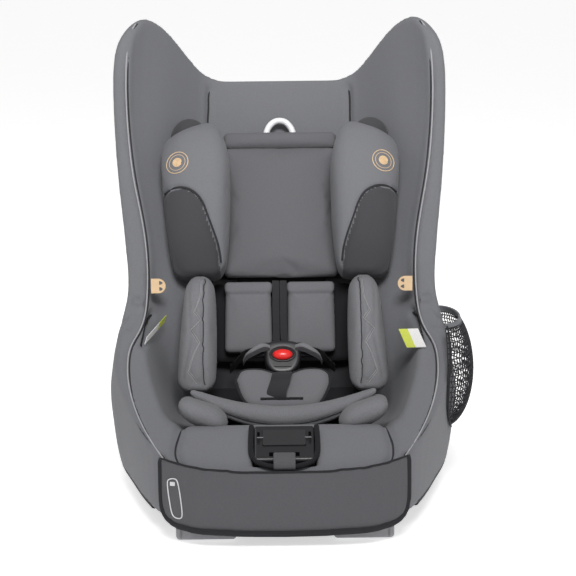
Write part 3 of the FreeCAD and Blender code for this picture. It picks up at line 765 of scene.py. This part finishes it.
def bolster(side, name):
    outline = closed_curve(BOLSTER_SIDE, 5)

    def field(X, D, S):
        flat = side_on(X, D, S, outline)
        rise = np.clip((S + 100) / 150, 0, 1)
        across = (X * side - 115.5 + 4.5 * rise) / (1.02 - 0.26 * rise)
        body = pillow(flat, across, 27.5, 26.0)
        front = box_field((across, S), (0, -23), (28, 83), 22)
        return soft_max(body, front, 6.0)

    return field_object(name, field, *sided(side, (84, -124, -116), (147, -20, 68)), 3.0, on_back)


BOLSTER_STITCH = ((107, 50), (108, 26), (117, 3), (108, -9), (122, -22), (110, -42), (117, -56), (125, -80),
                  (112, -96))


def finish_bolster(piece, side, mats, name):
    """Front seam, zigzag stitching and outer crease of a bolster."""
    tree = surface_tree(piece)
    front = [(side * (103 + 3 * math.sin((s + 100) / 50)), s) for s in np.linspace(54, -98, 40)]
    edge = onto_back(front, tree)
    groove(piece, edge, 2.6, 2.6)
    tree = surface_tree(piece)
    pieces = [tube(name + "_seam", snapped(edge, tree, 0.1), 0.7, mats["seam"])]
    for shift, label in ((0.0, "a"), (1.6, "b")):
        corners = [(side * (x + shift), s - shift) for x, s in BOLSTER_STITCH]
        run = []
        for a, b in zip(corners[:-1], corners[1:]):
            run += between(a, b, 5, endpoint=False)
        path = onto_back(run + corners[-1:], tree)
        groove(piece, path, 1.0, 1.8)
        thread = snapped(path, surface_tree(piece), 0.15)
        pieces.append(tube(name + "_stitch_" + label, thread, 0.35, mats["stitch"], smooth=False))
    outer = [(side * (131 - 0.07 * (s + 88) + 3 * math.sin(s / 22)), s) for s in np.linspace(38, -88, 30)]
    groove(piece, onto_back(outer, tree), 1.2, 3.0)
    return pieces


def seat_height(y):
    curve = smooth_curve(SEAT_LINE, 6)
    return np.interp(y, curve[:, 0], curve[:, 1])


def lobe(side, name):
    def field(X, Y, Z):
        outward = X * side - 103
        lift = Z - seat_height(Y) - 16 - 0.15 * (Y + 152) - 0.36 * outward
        dx = np.abs(outward) / 32
        dy = np.abs(Y + 152) / 37
        outline = (dx ** 3.4 + dy ** 3.4) ** (1 / 3.4) - 1
        return pillow(outline * 30, lift, 17.0, 20.0)

    return field_object(name, field, *sided(side, (66, -196, 84), (140, -108, 186)), 3.0)


def insert_roll(name):
    def field(X, Y, Z):
        share = np.clip(np.abs(X) / 122, 0, 1) ** 2
        y, z = -130 - 18 * (X / 116) ** 2, 124 + 40 * (X / 116) ** 2
        size = 14.0 * np.clip(1 - share, 0, 1) ** 0.6 + 1.5
        return np.maximum(np.sqrt(((Y - y) / 1.15) ** 2 + (Z - z) ** 2) - size, np.abs(X) - 120)

    return field_object(name, field, (-126, -176, 104), (126, -96, 188), 3.0)


def finish_roll(roll, mats):
    """Sewn edge along the front of the roll."""
    line = [(x, IN_FRONT, 119 + 42 * (x / 116) ** 2) for x in np.linspace(-106, 106, 50)]
    edge = cast(line, surface_tree(roll), (0, 1, 0))
    groove(roll, edge, 2.2, 3.2)
    return tube("insert_front_roll_seam", evened(snapped(edge, surface_tree(roll), 0.1)), 0.8, mats["seam"])


def shoulder_pad(side, name):
    def field(X, D, S):
        middle = side * 43 - 3
        body = box_field((X, D, S), (middle, -38, 8), (32.5, 8, 47), 6)
        fold = box_field((X, D, S), (middle, -41, 51), (33, 8.5, 8.5), 5)
        return np.minimum(body, fold)

    low = (-86 if side < 0 else 2, -56, -46)
    high = (-6 if side < 0 else 82, -24, 68)
    return field_object(name, field, low, high, 2.5, on_back)


CROTCH_LINE = ((-62, 14), (-54, 29), (-30, 31), (0, 22), (30, 31), (54, 29), (62, 14), (54, -12), (40, -28),
               (0, -32), (-40, -28), (-54, -12))


def crotch_pad(name):
    """Padded cushion that the crotch webbing comes through, dented in its middle."""
    outline = closed_curve(CROTCH_LINE, 5)

    def field(X, T, W):
        flat = face_on(X, W, outline)
        return pillow(flat, T, 7.5, 13.0) + 1.35 * np.exp(-(X / 9) ** 2)

    return field_object(name, field, (-68, -14, -38), (68, 14, 38), 2.5, on_crotch)


def insert_back(name):
    def field(X, D, S):
        return box_field((X, D, S), (0, -15, 8), (98, 11, 56), 9)

    return field_object(name, field, (-106, -34, -56), (106, 4, 72), 3.0, on_back)


def insert_seat(name):
    def field(X, Y, Z):
        lift = Z - seat_height(Y) - 12
        return box_field((X, Y, lift), (0, -42, 0), (104, 66, 10), 9)

    return field_object(name, field, (-112, -114, 80), (112, 30, 160), 4.0)


CLOTH = {"quality": 4, "mass": 0.3, "tension_stiffness": 25, "compression_stiffness": 25,
         "shear_stiffness": 8, "bending_stiffness": 1.2, "use_pressure": True}


def inflate(jobs):
    """Swell closed cushions with cloth pressure: (object, pressure, most movement in mm)."""
    scene = bpy.context.scene
    start = {}
    for obj, pressure, _ in jobs:
        start[obj.name] = vertex_array(obj)
        cloth = obj.modifiers.new("swell", "CLOTH")
        for key, value in CLOTH.items():
            setattr(cloth.settings, key, value)
        cloth.settings.uniform_pressure_force = pressure
        cloth.settings.effector_weights.gravity = 0
        cloth.collision_settings.use_collision = False
        cloth.point_cache.frame_start = 1
        cloth.point_cache.frame_end = SWELL_FRAMES
    for frame_number in range(1, SWELL_FRAMES + 1):
        scene.frame_set(frame_number)
    graph = bpy.context.evaluated_depsgraph_get()
    for obj, _, cap in jobs:
        made = obj.evaluated_get(graph).to_mesh()
        co = np.empty(len(made.vertices) * 3)
        made.vertices.foreach_get("co", co)
        move = co.reshape(-1, 3) / MM - start[obj.name]
        length = np.linalg.norm(move, axis=1)[:, None]
        move *= np.minimum(1, cap / np.maximum(length, 1e-6))
        obj.evaluated_get(graph).to_mesh_clear()
        obj.modifiers.clear()
        set_vertices(obj, start[obj.name] + move)
    scene.frame_set(1)


# --- camera and light
def make_camera():
    target = Vector((0.0, 0.0, 0.312))
    azimuth, elevation, roll = math.radians(-0.25), math.radians(12.0), math.radians(-0.6)
    distance = 2.6
    back = Vector((math.sin(azimuth) * math.cos(elevation), -math.cos(azimuth) * math.cos(elevation),
                   math.sin(elevation)))
    right = (-back).cross(Vector((0, 0, 1))).normalized()
    up = right.cross(-back)
    side = right * math.cos(roll) + up * math.sin(roll)
    top = up * math.cos(roll) - right * math.sin(roll)
    camera = bpy.data.objects.new("camera", bpy.data.cameras.new("camera"))
    matrix = camera.matrix_world.to_3x3()
    for row in range(3):
        matrix[row] = (side[row], top[row], back[row])
    camera.matrix_world = matrix.to_4x4()
    camera.location = target + back * distance
    camera.data.sensor_width = 36.0
    camera.data.lens = 120.7
    camera.data.shift_x = 0.0114
    camera.data.shift_y = -0.0556
    camera.data.clip_end = 50
    bpy.context.scene.collection.objects.link(camera)
    bpy.context.scene.camera = camera


def area_light(name, location, size, power, aim=STUDIO_AIM, spread=180):
    data = bpy.data.lights.new(name, "AREA")
    data.shape = "RECTANGLE"
    data.size, data.size_y = size
    data.energy = power
    data.spread = math.radians(spread)
    light = bpy.data.objects.new(name, data)
    light.location = location
    light.rotation_euler = (Vector(aim) - Vector(location)).to_track_quat("-Z", "Y").to_euler()
    bpy.context.scene.collection.objects.link(light)


def floor_material():
    material, nodes, links, shader = shader_nodes("floor_white")
    noise_colour(nodes, links, shader, (0.9, 0.9, 0.9), 0.01, 8.0)
    set_inputs(shader, {"Roughness": 0.7, "Emission Color": (1, 1, 1, 1), "Emission Strength": FLOOR_GLOW})
    return material


def make_studio():
    world = bpy.data.worlds.new("studio")
    world.use_nodes = True
    nodes, links = world.node_tree.nodes, world.node_tree.links
    nodes["Background"].inputs["Color"].default_value = (1, 1, 1, 1)
    path = nodes.new("ShaderNodeLightPath")
    strength = nodes.new("ShaderNodeMapRange")
    set_inputs(strength, {"To Min": WORLD_GLOW, "To Max": 1.0})
    links.new(path.outputs["Is Camera Ray"], strength.inputs["Value"])
    links.new(strength.outputs["Result"], nodes["Background"].inputs["Strength"])
    bpy.context.scene.world = world
    area_light("key", (0.1, -1.9, 2.2), (1.0, 0.8), 8.8, (0, 0.1, 0.66), 60)
    area_light("fill", (1.2, -2.6, 1.1), (1.2, 1.2), 3)
    area_light("rim", (-1.6, 0.6, 1.9), (1.0, 1.0), 5)
    bpy.ops.mesh.primitive_plane_add(size=40, location=(0, 0, 0))
    floor = bpy.context.object
    floor.name = "floor"
    floor.data.materials.append(floor_material())
    bpy.context.scene.view_settings.view_transform = "Standard"


PIPING_LEFT = ((-155, -245, 109), (-189, -180, 139), (-204, -110, 172), (-206, -60, 200), (-194, -40, 211),
               (-178, -5, 240), (-178, 30, 281), (-185, 45, 355), (-194, 52, 392), (-202, 60, 435),
               (-209, 80, 515), (-209, 98, 596), (-197, 122, 615))


def outline_half(z, inset):
    """One half of the outer section at a height, from its front to its back, sunk by an inset."""
    ring = outer_outline(z)
    half = ring[ring[:, 0] > 0]
    half = half[np.argsort(half[:, 1])]
    along = np.gradient(half, axis=0)
    along /= np.linalg.norm(along, axis=1)[:, None]
    return half + np.stack([-along[:, 1], along[:, 0]], 1) * inset


def rear_hem(side):
    """Where the cover ends on the back of the shell, from low to high."""
    line = []
    for z in np.linspace(38, 498, 36):
        y = rear_line(z)
        half = outline_half(z, 3.4 - 0.6 * rear_fullness(y, z))
        back = half[half[:, 1] > 60]
        line.append((side * np.interp(y, back[:, 1], back[:, 0]), y, z))
    return np.array(line)


def side_hem(side):
    """Lower edge of the cover along one side."""
    half = outline_half(33, 4.4)
    half = half[(half[:, 1] > -222) & (half[:, 1] < 186)]
    return np.array([(side * (x + 0.6 * rear_fullness(y, 33)), y, 33) for x, y in half])


COVER_CREASE = ((129, -262, 96), (136, -238, 116), (132, -205, 128), (128, -160, 120), (124, -110, 108))
WING_TOP = ((103, 276, 505), (103, 268, 513), (103, 258, 517))
COVER_FOLDS = (((204, -30, 222), (192, -12, 244)), ((210, -14, 226), (196, 4, 252)),
               ((200, -2, 262), (184, 8, 246)))


def finish_side(cover, name, side, mats):
    """Piping, seams, hems, folds and the belt slot on one side of the cover."""
    pieces = []

    def cord(label, line, radius, look):
        pieces.append(tube(label + "_" + name, line, radius, mats[look]))

    tree = surface_tree(cover)
    line = evened(snapped(smooth_curve(mirrored(PIPING_LEFT, -side), 5), tree), 8)
    groove(cover, line, 2.6, 3.4)
    corner = mirrored(WING_TOP, side)
    corner += [(side * (101 + 2 * math.sin(z / 60)), back_face_y(z) - 4, z)
               for z in np.linspace(515, 230, 40)]
    corner = evened(snapped(corner, tree), 3)
    groove(cover, corner, 4.5, 5.0)
    crease = evened(snapped(smooth_curve(mirrored(COVER_CREASE, side), 6), tree))
    groove(cover, crease, 6.0, 6.0)
    tree = surface_tree(cover)
    cord("piping", evened(snapped(line, tree, 0.7), 6), 1.05, "piping")
    inner_line = line - (side * 2.6, -0.6, 0)
    cord("piping_seam", evened(snapped(inner_line, tree, 0.1), 6), 1.0, "seam")
    cord("wing_seam", evened(snapped(corner, tree, 0.2), 3), 1.3, "seam")
    cord("cushion_seam", evened(snapped(crease, tree, 0.1)), 1.2, "seam")
    slot = evened(inner_wall(side, between((10, 230), (-52, 205), 24), tree), 3)
    groove(cover, slot, 7.0, 7.0)
    cord("belt_slot_edge", evened(snapped(slot, surface_tree(cover), 0.2)), 1.4, "dark")
    cord("rear_hem", rear_hem(side), 4.4, "binding")
    cord("side_hem", side_hem(side), 4.2, "binding")
    for a, b in COVER_FOLDS:
        groove(cover, snapped(mirrored(between(a, b, 8), side), tree), 4.0, 6.0)
    return pieces


def finish_cover(cover, mats):
    """Sewn details of the seat's cover, and a near-black fabric where one sits: partly its real dark lining,
    partly painted shade of the deep hollow.
    """
    pieces = []
    for name, side in SIDES:
        pieces += finish_side(cover, name, side, mats)
    x, y, z = vertex_array(cover).T
    depth, height = back_axes(y, z)
    x = np.abs(x)
    # Faces deep in the hollow behind the insert get the near-black fabric: partly the real lining panel,
    # partly painted shade of the recess
    lining_and_shade_mask = (x < 150) & (y > -176) & (z < 210) & (height < 64)
    lining_and_shade_mask &= (depth > -260) & (z > 84) & (depth < 14)
    lining_and_shade_mask &= x < 118 + 0.16 * (z - 84)
    two_tone(cover, mats["cover"], mats["lining_and_shade"], lining_and_shade_mask)
    return pieces


def outline_front_y(x, z):
    """Where the outer section's front lies at a half width."""
    ring = outer_outline(z)
    front = ring[(ring[:, 0] > 0) & (ring[:, 1] < -90)]
    order = np.argsort(front[:, 0])
    return np.interp(abs(x), front[order, 0], front[order, 1])


def apron_edge():
    """Outline of the apron as x and z: from its top left corner down, along the foot and up again."""
    corners = [(-154, 110), (-154.5, 70), (-153, 46), (-145, 31), (-122, 23.5), (-60, 20), (0, 19)]
    half = smooth_curve(corners, 8)
    return np.vstack([half, (half * (-1, 1))[::-1][1:]])


def apron_top(x):
    return 99 + 11 * (np.abs(x) / 153) ** 2


def apron(name):
    top = [(x, apron_top(x)) for x in np.linspace(153, -153, 40)]
    outline = np.vstack([apron_edge(), top])

    def field(X, Y, Z):
        flat = face_on(X, Z, outline)
        skin = by_height(X, Y, Z, outer_outline)
        return soft_max(np.abs(skin - 4.2) - 3.4, flat, 3.0)

    return field_object(name, field, (-164, -284, 8), (164, -216, 118), 3.0)


LABEL_FRAME = ((-143, 86), (-136, 88), (-132, 85), (-129, 62), (-127, 42), (-129, 36), (-137, 36),
               (-141, 41), (-144, 62), (-146, 82))


def finish_apron(piece, mats):
    """Binding round the apron and the blank frame of its label."""
    tree = surface_tree(piece)
    edge = [(x, outline_front_y(x, z) - 7, z) for x, z in apron_edge()]
    edge = snapped(edge, tree, 0.2)
    pieces = [band("apron_binding", edge, np.array([(0, -1, 0)] * len(edge)), 9.0, 7.0, mats["binding"])]
    top = [(x, outline_front_y(x, apron_top(x)) - 7, apron_top(x) + 1) for x in np.linspace(-154, 154, 60)]
    top = snapped(top, tree, 0.3)
    pieces.append(tube("apron_top_seam", top, 1.6, mats["binding"]))
    path = cast([(x, IN_FRONT, z) for x, z in LABEL_FRAME], tree, (0, 1, 0), 0.4)
    pieces.append(tube("apron_label_frame", path, 0.8, mats["label"], closed=True))
    bar = cast([(x, IN_FRONT, z) for x, z in ((-142, 80), (-139, 80.3), (-136, 80.6))], tree, (0, 1, 0), 0.4)
    pieces.append(band("apron_label_bar", bar, (0, 0, 1), 5.0, 0.8, mats["label"]))
    return pieces


def flat_shape(name, outlines, thickness, material):
    """A plate cut from closed outlines drawn in its own plane; later outlines are holes."""
    data = bpy.data.curves.new(name, "CURVE")
    data.dimensions = "2D"
    data.fill_mode = "BOTH"
    data.extrude = thickness / 2 * MM
    data.bevel_depth = 0.25 * MM
    for outline in outlines:
        spline = data.splines.new("POLY")
        spline.points.add(len(outline) - 1)
        for point, (u, v) in zip(spline.points, outline):
            point.co = (u * MM, v * MM, 0, 1)
        spline.use_cyclic_u = True
    return link_curve(name, data, material)


def arc(cx, cy, rx, ry, start, end, count):
    return [(cx + rx * math.cos(math.radians(a)), cy + ry * math.sin(math.radians(a)))
            for a in np.linspace(start, end, count)]


def gold_tab(side, name, mats):
    """Half round plate with two slots, standing out of the cover."""
    body = [(0, -9.8), (0, 9.8)] + arc(9.5, 0, 9.8, 9.8, 90, -90, 18)
    holes = [arc(10.5, v, 5.2, 3.0, -90 if v > 0 else 90, 90 if v > 0 else -90, 10) for v in (4.2, -4.2)]
    tab = flat_shape(name, [body] + holes, 1.6, mats["gold"])
    tab.rotation_euler = (math.radians(90), 0, math.radians(0 if side < 0 else 180))
    tab.location = (side * 0.1765, 0.0045, 0.2715)
    return tab


def belt_tag(name, corner, along, up, sizes, mats):
    """A woven tag of two colours in the fold beside the belt path: sizes are both ends and the height."""
    corner, along, up = (np.array(v, float) for v in (corner, along, up))
    along /= np.linalg.norm(along)
    up /= np.linalg.norm(up)
    split, end, height = sizes
    made = []
    for label, a, b, look in (("a", 0.0, split, "tag_yellow"), ("b", split, end, "tag_white")):
        path = [corner + along * (a + (b - a) * t) + up * height / 2 for t in np.linspace(0, 1, 4)]
        made.append(band(name + "_" + label, path, up, height, 0.9, mats[look]))
    return made


# The pocket's bag: its middle and its half sizes
POCKET = (214, -24, 164)
POCKET_HALF = (42, 88, 82)


def pocket_point(u, v):
    """On the pocket's bag: u turns it from front to back, v from its mouth to its foot."""
    turn = (math.cos(u) * math.sin(v), math.sin(u) * math.sin(v), math.cos(v))
    return tuple(c + h * t for c, h, t in zip(POCKET, POCKET_HALF, turn))


def net_pocket(name, mats):
    """The net as real cords crossing each other, with open holes between them."""
    rows, columns = 26, 30
    verts, faces = [], []
    for i in range(rows + 1):
        v = math.radians(38 + 134 * i / rows)
        for j in range(columns + 1):
            u = math.radians(-88 + 176 * j / columns)
            shift = 0.5 * math.radians(176 / columns) * (i % 2)
            verts.append(pocket_point(u + shift * (j not in (0, columns)), v))
    for i in range(rows):
        for j in range(columns):
            a = i * (columns + 1) + j
            faces.append((a, a + 1, a + columns + 2, a + columns + 1))
    sections = {}
    keep = []
    for f in faces:
        x, y, z = np.mean([verts[k] for k in f], axis=0)
        ring = sections.setdefault(round(z / 4), outer_outline(z))
        if polygon_distance(np.array([[x]]), np.array([[y]]), ring)[0, 0] > -1.5:
            keep.append(f)
    obj = new_object(name, verts, keep, smooth=False)
    mesh = bmesh.new()
    mesh.from_mesh(obj.data)
    loose = [v for v in mesh.verts if not v.link_faces]
    bmesh.ops.delete(mesh, geom=loose, context="VERTS")
    bmesh.ops.wireframe(mesh, faces=mesh.faces[:], thickness=1.7 * MM, offset=0.0, use_replace=True,
                        use_boundary=True, use_even_offset=True, use_relative_offset=False)
    mesh.to_mesh(obj.data)
    mesh.free()
    obj.data.materials.append(mats["net"])
    return obj


def pocket_trim(mats):
    """Elastic band round the pocket's mouth and the tape that sews its front edge to the cover."""
    mouth = [pocket_point(math.radians(a), math.radians(36)) for a in np.linspace(-88, 88, 24)]
    pieces = [band("pocket_mouth_band", mouth, (-0.35, 0, 1), 9.0, 2.6, mats["cover"])]
    front = []
    for z in np.linspace(232, 92, 24):
        share = 1 - ((z - 164) / 84) ** 2
        y = -24 - 86 * math.sqrt(max(share, 0.02))
        x = outline_side_x(y, z)
        front.append((x + 1.5, y, z))
    pieces.append(band("pocket_front_tape", front, (0, 1, 0), 13.0, 3.0, mats["binding"]))
    return pieces


def outline_side_x(y, z):
    ring = outer_outline(z)
    right = ring[ring[:, 0] > 60]
    order = np.argsort(right[:, 1])
    return np.interp(y, right[order, 1], right[order, 0])


BUCKLE_LINE = ((-24, 12), (-19, 21), (0, 24), (19, 21), (24, 12), (23, -8), (14, -22), (0, -25), (-14, -22),
               (-23, -8))


def buckle(mats):
    """The buckle's body with its well, the release button, the lip round it and a plate below."""
    outline = closed_curve(BUCKLE_LINE, 5)

    def shell(X, T, W):
        flat = face_on(X, W, outline)
        body = soft_max(flat, np.abs(T) - 11, 5.0)
        well = np.sqrt((X / 16.5) ** 2 + ((W - 3) / 10.5) ** 2 + ((T + 13) / 6.5) ** 2) - 1
        return soft_max(body, -well * 6, 1.0)

    def button(X, T, W):
        dome = np.sqrt((X / 13.5) ** 2 + ((W - 3) / 7.8) ** 2 + ((T + 8) / 6.0) ** 2) - 1
        return np.maximum(dome * 6, T + 7)

    body = field_object("buckle_body", shell, (-30, -16, -30), (30, 16, 30), 1.6, on_buckle)
    body.data.materials.append(mats["black"])
    lens = field_object("release_button", button, (-16, -17, -8), (16, -4, 14), 1.0, on_buckle)
    lens.data.materials.append(mats["red"])
    lip = [on_buckle(x, -11.2, w) for x, w in arc(0, 3, 17, 11, 0, 360, 40)[:-1]]
    ring = tube("buckle_lip", lip, 1.1, mats["black"], closed=True)
    plate = band("buckle_plate", [on_buckle(x, -11.4, -13) for x in (-12, -4, 4, 12)], lengthwise(on_buckle),
                 7.0, 1.6, mats["black_soft"])
    return body, lens, ring, plate


def crotch_webbing(mats):
    points = [on_buckle(0, 2, -16), on_buckle(0, -3, -26), on_crotch(-1, -13, 18), on_crotch(-4, -13.5, 4),
              on_crotch(-8, -12.5, -9), on_crotch(-9, -8, -17), on_crotch(-9, 0, -19)]
    points = smooth_curve(points, 5)
    turn = np.radians(np.linspace(0, 38, len(points)))
    across = np.stack([np.cos(turn), -np.sin(turn) * 0.5, np.sin(turn) * 0.3], 1)
    return band("crotch_webbing", points, across, np.linspace(25, 28, len(points)), 2.2, mats["webbing"])


def crotch_edge(mats):
    """Binding round the crotch pad, and a black strip as painted shade in the slot that the webbing goes
    into.
    """
    line = [on_crotch(x * 0.99, 0, w * 0.99) for x, w in closed_curve(CROTCH_LINE, 4)]
    binding = tube("crotch_binding", line, 2.6, mats["binding"], closed=True)
    # Painted shade: a black strip stands for the dark opening of the slot
    line = [on_crotch(x, -8.6, -20) for x in (-30, -15, 0, 15, 26)]
    slot = band("crotch_slot_shade", line, lengthwise(on_crotch), 3.0, 2.0, mats["dark"])
    return binding, slot


def harness(side, name, mats):
    """Shoulder webbing from the slot in the back, under its pad and down to the buckle."""
    shift, foot = side * 5.2 - 3, side * 6 - 1.5
    upper = smooth_curve([on_back(shift, 6, 66), on_back(shift, -29, 64), on_back(shift, -44, 44),
                          on_back(shift, -45, -10), on_back(foot, -48, -40)], 6)
    strap = band("shoulder_webbing_" + name, upper, (1, 0, 0), 9.6, 2.4, mats["webbing"])
    lower = smooth_curve([on_back(foot, -46, -42), (side * 8 - 1, -8, 186), (side * 14, -18, 190),
                          on_buckle(side * 17, 0, 17)], 5)
    tail = band("harness_webbing_" + name, lower, (1, 0, side * 0.2), 12.0, 2.0, mats["webbing"])
    return strap, tail


def lap_webbing(side, name, mats):
    """Folded lap webbing and its padded sleeve beside the buckle."""
    path = smooth_curve([on_buckle(side * 26, 1, 12), (side * 40, -30, 187), (side * 52, -18, 180),
                         (side * 62, 2, 164), (side * 72, 16, 150)], 6)
    across = [(0.0, -0.75, 0.66)] * len(path)
    strap = band("lap_webbing_" + name, path, across, 24.0, 2.2, mats["webbing"])
    fold = smooth_curve([(side * 17, -37, 193), (side * 27, -42, 196), (side * 40, -43, 190),
                         (side * 49, -38, 182), (side * 53, -30, 172)], 6)
    sleeve = band("lap_sleeve_" + name, fold, (0, -0.7, 0.7), 14.0, 6.0, mats["sleeve"])
    return strap, sleeve


def tongue(side, name, mats):
    path = [on_buckle(side * x, 0.5, w) for x, w in ((15, 12), (20, 15), (28, 14), (40, 9))]
    return band("tongue_" + name, path, lengthwise(on_buckle), (16, 20, 19, 12), 5.0, mats["black"])


ADJUSTER_RIM = ((-41, 31), (-42, 0), (-40, -20), (-28, -34), (0, -40), (28, -34), (40, -20), (42, 0),
                (41, 31))
ADJUSTER_PULL = ((-2, -18), (-9, -24), (-10, -34), (-4, -42), (1, -40))


def adjuster_pieces(mats):
    """Dark gaiter round the adjuster, its webbing pull and the slots in its face."""
    ring = smooth_curve([on_adjuster(x, -1.5, w) for x, w in ADJUSTER_RIM], 4)
    pull = smooth_curve([on_adjuster(0, thick, w) for thick, w in ADJUSTER_PULL], 6)
    pieces = [tube("adjuster_rim", ring, 3.4, mats["dark"]),
              band("adjuster_pull", pull, (1, 0, 0), 27.0, 3.4, mats["webbing_light"])]
    for name, side in SIDES:
        line = [on_adjuster(side * 30 + u, -7.4, 6) for u in (-4, 0, 4)]
        pieces.append(band("adjuster_slot_" + name, line, lengthwise(on_adjuster), 1.6, 0.8, mats["grey"]))
    return pieces


def handle_loop(mats):
    half = [(-19, 236), (-19, 278), (-17.5, 291), (-10, 301.5), (0, 305), (10, 301.5), (17.5, 291), (19, 278),
            (19, 236)]
    path = [on_back(x, -15.5, s) for x, s in smooth_curve(half, 6)]
    return tube("headrest_pull", path, 4.7, mats["white"])


# What rides on something other than the seat, and the nodes that a piece stands for
RIDES = {"shoulder_webbing_left": "headrest", "shoulder_webbing_right": "headrest",
         "release_button": "buckle_release", "headrest_pull": "headrest_release"}
STANDS_FOR = {"tongue_left": "buckle_tongue_left", "tongue_right": "buckle_tongue_right",
              "buckle_body": "buckle_housing", "release_button": "buckle_button",
              "crotch_webbing": "crotch_strap", "headrest_pull": "headrest_handle",
              "pocket_net": "mesh_pocket", "pocket_mouth_band": "pocket_band",
              "anchor_tab_left": "gold_tabs", "belt_tag_left_a": "belt_tags",
              "lap_webbing_left": "lap_straps", "harness_webbing_left": "shoulder_straps",
              "adjuster_pull": "strap_tail"}


def hard_pieces(mats):
    """Everything that isn't a cushion."""
    out = []
    for name, side in SIDES:
        out += [*harness(side, name, mats), *lap_webbing(side, name, mats), tongue(side, name, mats),
                gold_tab(side, "anchor_tab_" + name, mats)]
    out += [*buckle(mats), crotch_webbing(mats), *crotch_edge(mats)]
    out += [*adjuster_pieces(mats), handle_loop(mats)]
    out += belt_tag("belt_tag_left", (-160, 2, 221), (-24, -54, -17), (0.3, 0.1, 1), (22, 60, 11), mats)
    out += belt_tag("belt_tag_right", (165, -62, 199), (28, -6, 2), (-12, 6, 27), (12, 26, 27), mats)
    return out + [net_pocket("pocket_net", mats), *pocket_trim(mats)]


CAD_LOOKS = {
    "shell": ("seat_shell", "base_shell", "hinge_lugs", "recline_racks", "rod_guides", "harness_carrier",
              "headrest_frame"),
    "foot": ("foot_left", "foot_right"),
    "rubber": ("foot_pads",),
    "steel": ("base_screws", "recline_axle", "latch_springs", "latch_linkage", "headrest_rods",
              "handle_springs", "yoke", "tether_plate", "crotch_anchor", "handle_latch_bar"),
    "black": ("adjuster_housing", "recline_handle"),
    "black_soft": ("adjuster_button",),
    "webbing": ("rear_straps", "adjuster_strap"),
}


def paint_cad(mats):
    for look, names in CAD_LOOKS.items():
        for node in names:
            for slot in NODES[node].material_slots:
                slot.material = mats[look]


COVER_NODES = ("cover_seat", "cover_back", "cover_arm_left", "cover_arm_right", "cover_wing_left",
               "cover_wing_right")


def cushions():
    """The soft pieces as (object, body, look, pressure and most swelling, nodes that it replaces)."""
    rows = [(main_cover(), "seat", None, None, COVER_NODES),
            (headrest_panel("headrest_cushion", 69.0, 255.5, 10.0), "headrest", "panel", (3.0, 6.0),
             ("headrest_pad",)),
            (headrest_panel("headrest_top", 254.5, 279.0, 9.0), "headrest", "panel", (2.0, 3.0),
             ("headrest_flap",)),
            (insert_back("insert_back_pad"), "seat", "dark", None, ("insert_back",)),
            (insert_seat("insert_seat_pad"), "seat", "dark", None, ("insert_seat",)),
            (insert_roll("insert_front_roll"), "seat", "insert", (2.0, 4.0), ("insert_roll",)),
            (crotch_pad("crotch_cushion"), "seat", "pad", (0.6, 1.5), ("crotch_pad",))]
    for name, side in SIDES:
        rows += [(headrest_wing(side, "head_wing_" + name), "headrest", None, (2.0, 5.0),
                  ("headrest_wing_" + name,)),
                 (bolster(side, "bolster_" + name), "seat", "insert", (3.0, 5.0),
                  ("insert_bolster_" + name,)),
                 (lobe(side, "lobe_" + name), "seat", "insert", (2.0, 4.0), ("insert_lobe_" + name,)),
                 (shoulder_pad(side, "strap_pad_" + name), "headrest", "pad", (2.0, 3.0),
                  ("shoulder_pad_" + name,))]
    return rows


def build():
    mats = make_materials()
    rows = cushions()
    inflate([(row[0], *row[3]) for row in rows if row[3]])
    made = {row[0].name: row[0] for row in rows}
    extras = []
    for name, side in SIDES:
        wing, roll = "head_wing_" + name, "bolster_" + name
        extras += [(p, "headrest") for p in finish_wing(made[wing], side, mats, wing)]
        extras += [(p, "seat") for p in finish_bolster(made[roll], side, mats, roll)]
    extras.append((finish_roll(made["insert_front_roll"], mats), "seat"))
    extras += [(p, "seat") for p in finish_cover(made["seat_cover"], mats)]
    for obj, body, look, _, nodes in rows:
        if look:
            obj.data.materials.append(mats[look])
        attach(obj, body)
        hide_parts(*nodes)
    for obj, body in extras:
        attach(obj, body)
    front = apron("front_apron")
    front.data.materials.append(mats["apron"])
    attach(front, "seat")
    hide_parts("apron")
    for piece in finish_apron(front, mats):
        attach(piece, "seat")
    harness_low = [MM * v for v in on_buckle(0, 0, 24)]
    for piece in hard_pieces(mats):
        if piece.name.startswith("harness_webbing"):
            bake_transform(piece)
        else:
            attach(piece, RIDES.get(piece.name, "seat"))
        if piece.name in STANDS_FOR:
            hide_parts(STANDS_FOR[piece.name])
    paint_cad(mats)


make_camera()
make_studio()
build()
